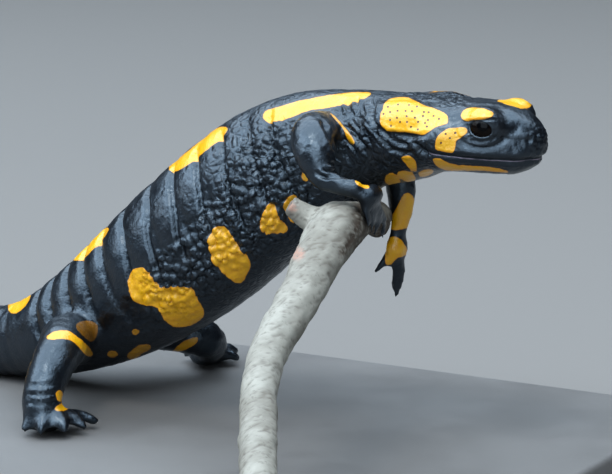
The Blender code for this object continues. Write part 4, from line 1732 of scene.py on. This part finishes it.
@dataclass
class Branch:
    """The short cut length of weathered branch that the hands hold.

    Places are in millimetres. bare_spots, each with its half width, and rind_edge are in pixels of the
    photo's frame. knob_right points from the knob to the right of the picture.
    """

    node: str = "perch_branch"
    voxel: float = 0.42
    run: Triple = (0.42, -0.90, 0.0)
    thick_end: Triple = (31.5, -93.0, 16.9)
    thick_axis: Triple = (0.51, -0.85, -0.09)
    thin_end: Triple = (-12.2, 15.4, 27.6)
    thin_axis: Triple = (-0.42, 0.90, -0.18)
    knob: Triple = (-2.0, -15.6, 32.9)
    knob_right: Triple = (0.866, 0.5, 0.0)
    stub: Triple = (-8.0, -18.8, 36.4)
    sunk: float = 0.10
    highest: float = 0.05
    lump: float = 0.14
    ripple: float = 0.03
    crack: float = 0.09
    rind_depth: float = 0.22
    bare_spots: tuple[tuple[tuple[float, float], float], ...] = (((297.0, 253.0), 7.5), ((292.0, 207.0), 6.0))
    rind_edge: Corners = ((361.0, 202.0), (360.0, 222.0), (353.0, 239.0), (344.0, 252.0))

    def cut_ends(self, points: Array, normals: Array) -> Array:
        """Which points lie on the sawn ends.

        Args:
            points: The branch's points.
            normals: Their normals.

        Returns:
            1 on an end, 0 elsewhere.
        """
        cut = np.zeros(len(points))
        for end, axis in ((self.thick_end, self.thick_axis), (self.thin_end, self.thin_axis)):
            facing = normals @ (np.array(axis) / np.linalg.norm(axis))
            near = np.linalg.norm(points - np.array(end), axis=1)
            cut = np.maximum(cut, smooth_step(0.75, 0.95, facing) * (1 - smooth_step(4.0, 5.0, near)))
        return cut

    def rind_and_shade(self, points: Array, pixels: Array, seen: Array) -> Array:
        """How dark each point is: rind beside the knob, along its edge and at the stub, and painted shade low
        past the knob.

        Args:
            points: The branch's points.
            pixels: Where they fall in the picture.
            seen: 1 where the surface faces the camera.

        Returns:
            1 where it is darkest, 0 where there is none.
        """
        from_knob = points - np.array(self.knob)
        right = from_knob @ np.array(self.knob_right)
        rind_and_shade = smooth_step(1.4, 2.8, right) * bell(np.linalg.norm(from_knob, axis=1), 8.5)
        # Painted shade: past the knob the branch is darker towards the bottom.
        underside_shade = smooth_step(2.6, 4.6, right) * smooth_step(1.2, -0.8, from_knob[:, 2])
        edge = bell(distance_to_path(pixels, self.rind_edge)[0], 5.0) * seen
        stub = 0.8 * bell(np.linalg.norm(points - np.array(self.stub), axis=1), 2.0)
        return np.max([rind_and_shade, 0.9 * underside_shade, edge, stub], 0)

    def build(self, frame: dict, material: bpy.types.Material) -> bpy.types.Object:
        """Builds the branch from its solid, with cracks, lumps and cut ends.

        Args:
            frame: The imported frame.
            material: The wood's material.

        Returns:
            The piece.
        """
        work = remeshed(solids_of(frame, (self.node,)), self.voxel, "branch")
        soften(work, work.verts[:], 2)
        points, normals = arrays_of(work)
        cracks = 1 - smooth_step(0.0, 0.10, np.abs(noise_at(points * (1.0, 0.14, 1.0), 0.9, 5.0)))
        cut = self.cut_ends(points, normals)
        seen = smooth_step(0.0, 0.08, VIEW.facing(points, normals))
        pixels = VIEW.pixels(points)
        rind_and_shade = self.rind_and_shade(points, pixels, seen)
        spots = [bell(np.hypot(*(pixels - place).T), reach) for place, reach in self.bare_spots]
        bare = np.max(spots, 0) * seen
        rough = noise_at(points, 1.9, 41.0)
        out = -self.sunk + self.lump * noise_at(points, 0.35, 9.0) + self.ripple * noise_at(points, 1.6, 2.0)
        out = out + self.ripple * np.sin((points @ np.array(self.run)) * 1.1)
        out = out - self.crack * cracks * (1 - cut) - self.rind_depth * rind_and_shade * smooth_step(-0.2, 0.4, rough)
        put_points(work, points + normals * np.minimum(out * (1 - 0.7 * cut), self.highest)[:, None])
        # Dark rind and painted shade low down past the knob, broken up by noise.
        worn = rind_and_shade * smooth_step(-0.7, 0.0, rough)
        # The value for the cracks marks painted shade in them.
        values = {"crack_shade": cracks * (1 - cut), "cut": cut, "rind_and_shade": worn, "bare": bare}
        piece = finished(work, "branch_wood", material, values)
        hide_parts(self.node)
        return piece


@dataclass
class Stand:
    """The flat display base and the rod up to the branch."""

    corner: float = 14.0
    edge: float = 0.9
    rod_radius: float = 1.6
    rod_edge: float = 0.2

    def board(self, material: bpy.types.Material) -> bpy.types.Object:
        """Builds the base with rounded corners and eased edges.

        Args:
            material: The board's material.

        Returns:
            The piece.
        """
        low, high = (FRAME.from_row(np.array(corner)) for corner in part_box("stand_base"))
        work = bmesh.new()
        bmesh.ops.create_cube(work, size=1.0)
        bmesh.ops.scale(work, vec=high - low, verts=work.verts)
        bmesh.ops.translate(work, vec=(low + high) / 2, verts=work.verts)
        upright = [e for e in work.edges if abs(e.verts[0].co.z - e.verts[1].co.z) > 1]
        rounded(work, upright, self.corner, 20)
        flat = [e for e in work.edges if abs(e.verts[0].co.z - e.verts[1].co.z) < 0.1]
        rims = [e for e in flat if {round(abs(f.normal.z)) for f in e.link_faces} == {0, 1}]
        rounded(work, rims, self.edge, 5)
        piece = finished(work, "stand_board", material)
        piece.data.shade_flat()
        for face in piece.data.polygons:
            face.use_smooth = abs(face.normal.z) < 0.999
        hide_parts("stand_base")
        return piece

    def rod(self, material: bpy.types.Material) -> bpy.types.Object:
        """Builds the round rod in the place of its solid.

        Args:
            material: The steel.

        Returns:
            The piece.
        """
        low, high = (FRAME.from_row(np.array(corner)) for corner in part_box("stand_rod"))
        work = bmesh.new()
        bmesh.ops.create_cone(
            work, cap_ends=True, segments=48, radius1=self.rod_radius, radius2=self.rod_radius,
            depth=high[2] - low[2], matrix=Matrix.Translation(Vector((low + high) / 2)),
        )
        rims = [e for e in work.edges if {len(f.verts) > 4 for f in e.link_faces} == {True, False}]
        rounded(work, rims, self.rod_edge, 3)
        piece = finished(work, "stand_rod_round", material)
        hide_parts("stand_rod")
        return piece


@dataclass(frozen=True)
class Softbox:
    """One soft square light that looks at the model, with its place and side in row metres."""

    name: str
    place: Triple
    size: float
    watts: float
    colour: Triple
    target: Triple = (0.03, 0.01, 0.03)

    def hang(self) -> None:
        """Adds the light to the scene."""
        data = bpy.data.lights.new(self.name, "AREA")
        data.shape, data.size, data.energy, data.color = "SQUARE", self.size, self.watts, self.colour
        light = bpy.data.objects.new(self.name, data)
        turn = (Vector(self.target) - Vector(self.place)).to_track_quat("-Z", "Y")
        light.matrix_world = Matrix.Translation(Vector(self.place)) @ turn.to_matrix().to_4x4()
        bpy.context.scene.collection.objects.link(light)


@dataclass
class Studio:
    """The plain floor and the soft lights."""

    floor_size: float = 30.0
    sky: Triple = (0.78, 0.87, 1.0)
    sky_strength: float = 0.03
    boxes: tuple[Softbox, ...] = (
        Softbox("sky_panel", (-0.10, 0.0, 0.85), 1.90, 34.0, (0.72, 0.86, 1.0)),
        Softbox("front_panel", (0.42, -0.78, 0.50), 1.10, 9.0, (0.76, 0.88, 1.0)),
        Softbox("tail_panel", (-0.80, -0.50, 0.60), 0.80, 4.8, (0.76, 0.88, 1.0)),
        Softbox("key", (0.05, -0.30, 0.80), 0.22, 1.6, (1.0, 0.97, 0.92)),
    )

    def floor(self, material: bpy.types.Material) -> None:
        """Builds the floor as stage.

        Args:
            material: The floor's material.
        """
        work = bmesh.new()
        bmesh.ops.create_grid(work, x_segments=1, y_segments=1, size=self.floor_size / 2)
        mesh = bpy.data.meshes.new("floor")
        work.to_mesh(mesh)
        work.free()
        mesh.materials.append(material)
        floor = bpy.data.objects.new("floor", mesh)
        bpy.context.scene.collection.objects.link(floor)

    def lights(self) -> None:
        """Builds the sky light and the softboxes, and sets how light becomes colour."""
        world = bpy.data.worlds.new("studio")
        world.use_nodes = True
        back = world.node_tree.nodes["Background"]
        back.inputs["Color"].default_value = (*self.sky, 1.0)
        back.inputs["Strength"].default_value = self.sky_strength
        bpy.context.scene.world = world
        for box in self.boxes:
            box.hang()
        bpy.context.scene.view_settings.view_transform = "Standard"
        bpy.context.scene.view_settings.look = "Medium High Contrast"


def main() -> None:
    """Builds the model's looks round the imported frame, piece by piece."""
    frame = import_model()
    eyes = (Eye(-1.0), Eye(1.0))
    eye_finish = EyeFinish().material()
    skin = Skin(eyes).build(frame, SkinFinish().material())
    LOG.info("skin: %d faces", len(skin.data.polygons))
    for eye, word in zip(eyes, ("right", "left")):
        ball = eye.build(f"eye_{word}_ball", eye_finish)
        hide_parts(f"eye_{word}")
        LOG.info("%s: %d faces", ball.name, len(ball.data.polygons))
    branch = Branch().build(frame, BarkFinish().material())
    LOG.info("branch: %d faces", len(branch.data.polygons))
    stand = Stand()
    stand.board(BoardFinish().material())
    stand.rod(SteelFinish().material())
    LOG.info("stand built")
    studio = Studio()
    studio.floor(FloorFinish().material())
    studio.lights()
    VIEW.build()


if __name__ == "__main__":
    logging.basicConfig(level=logging.INFO)
    main()
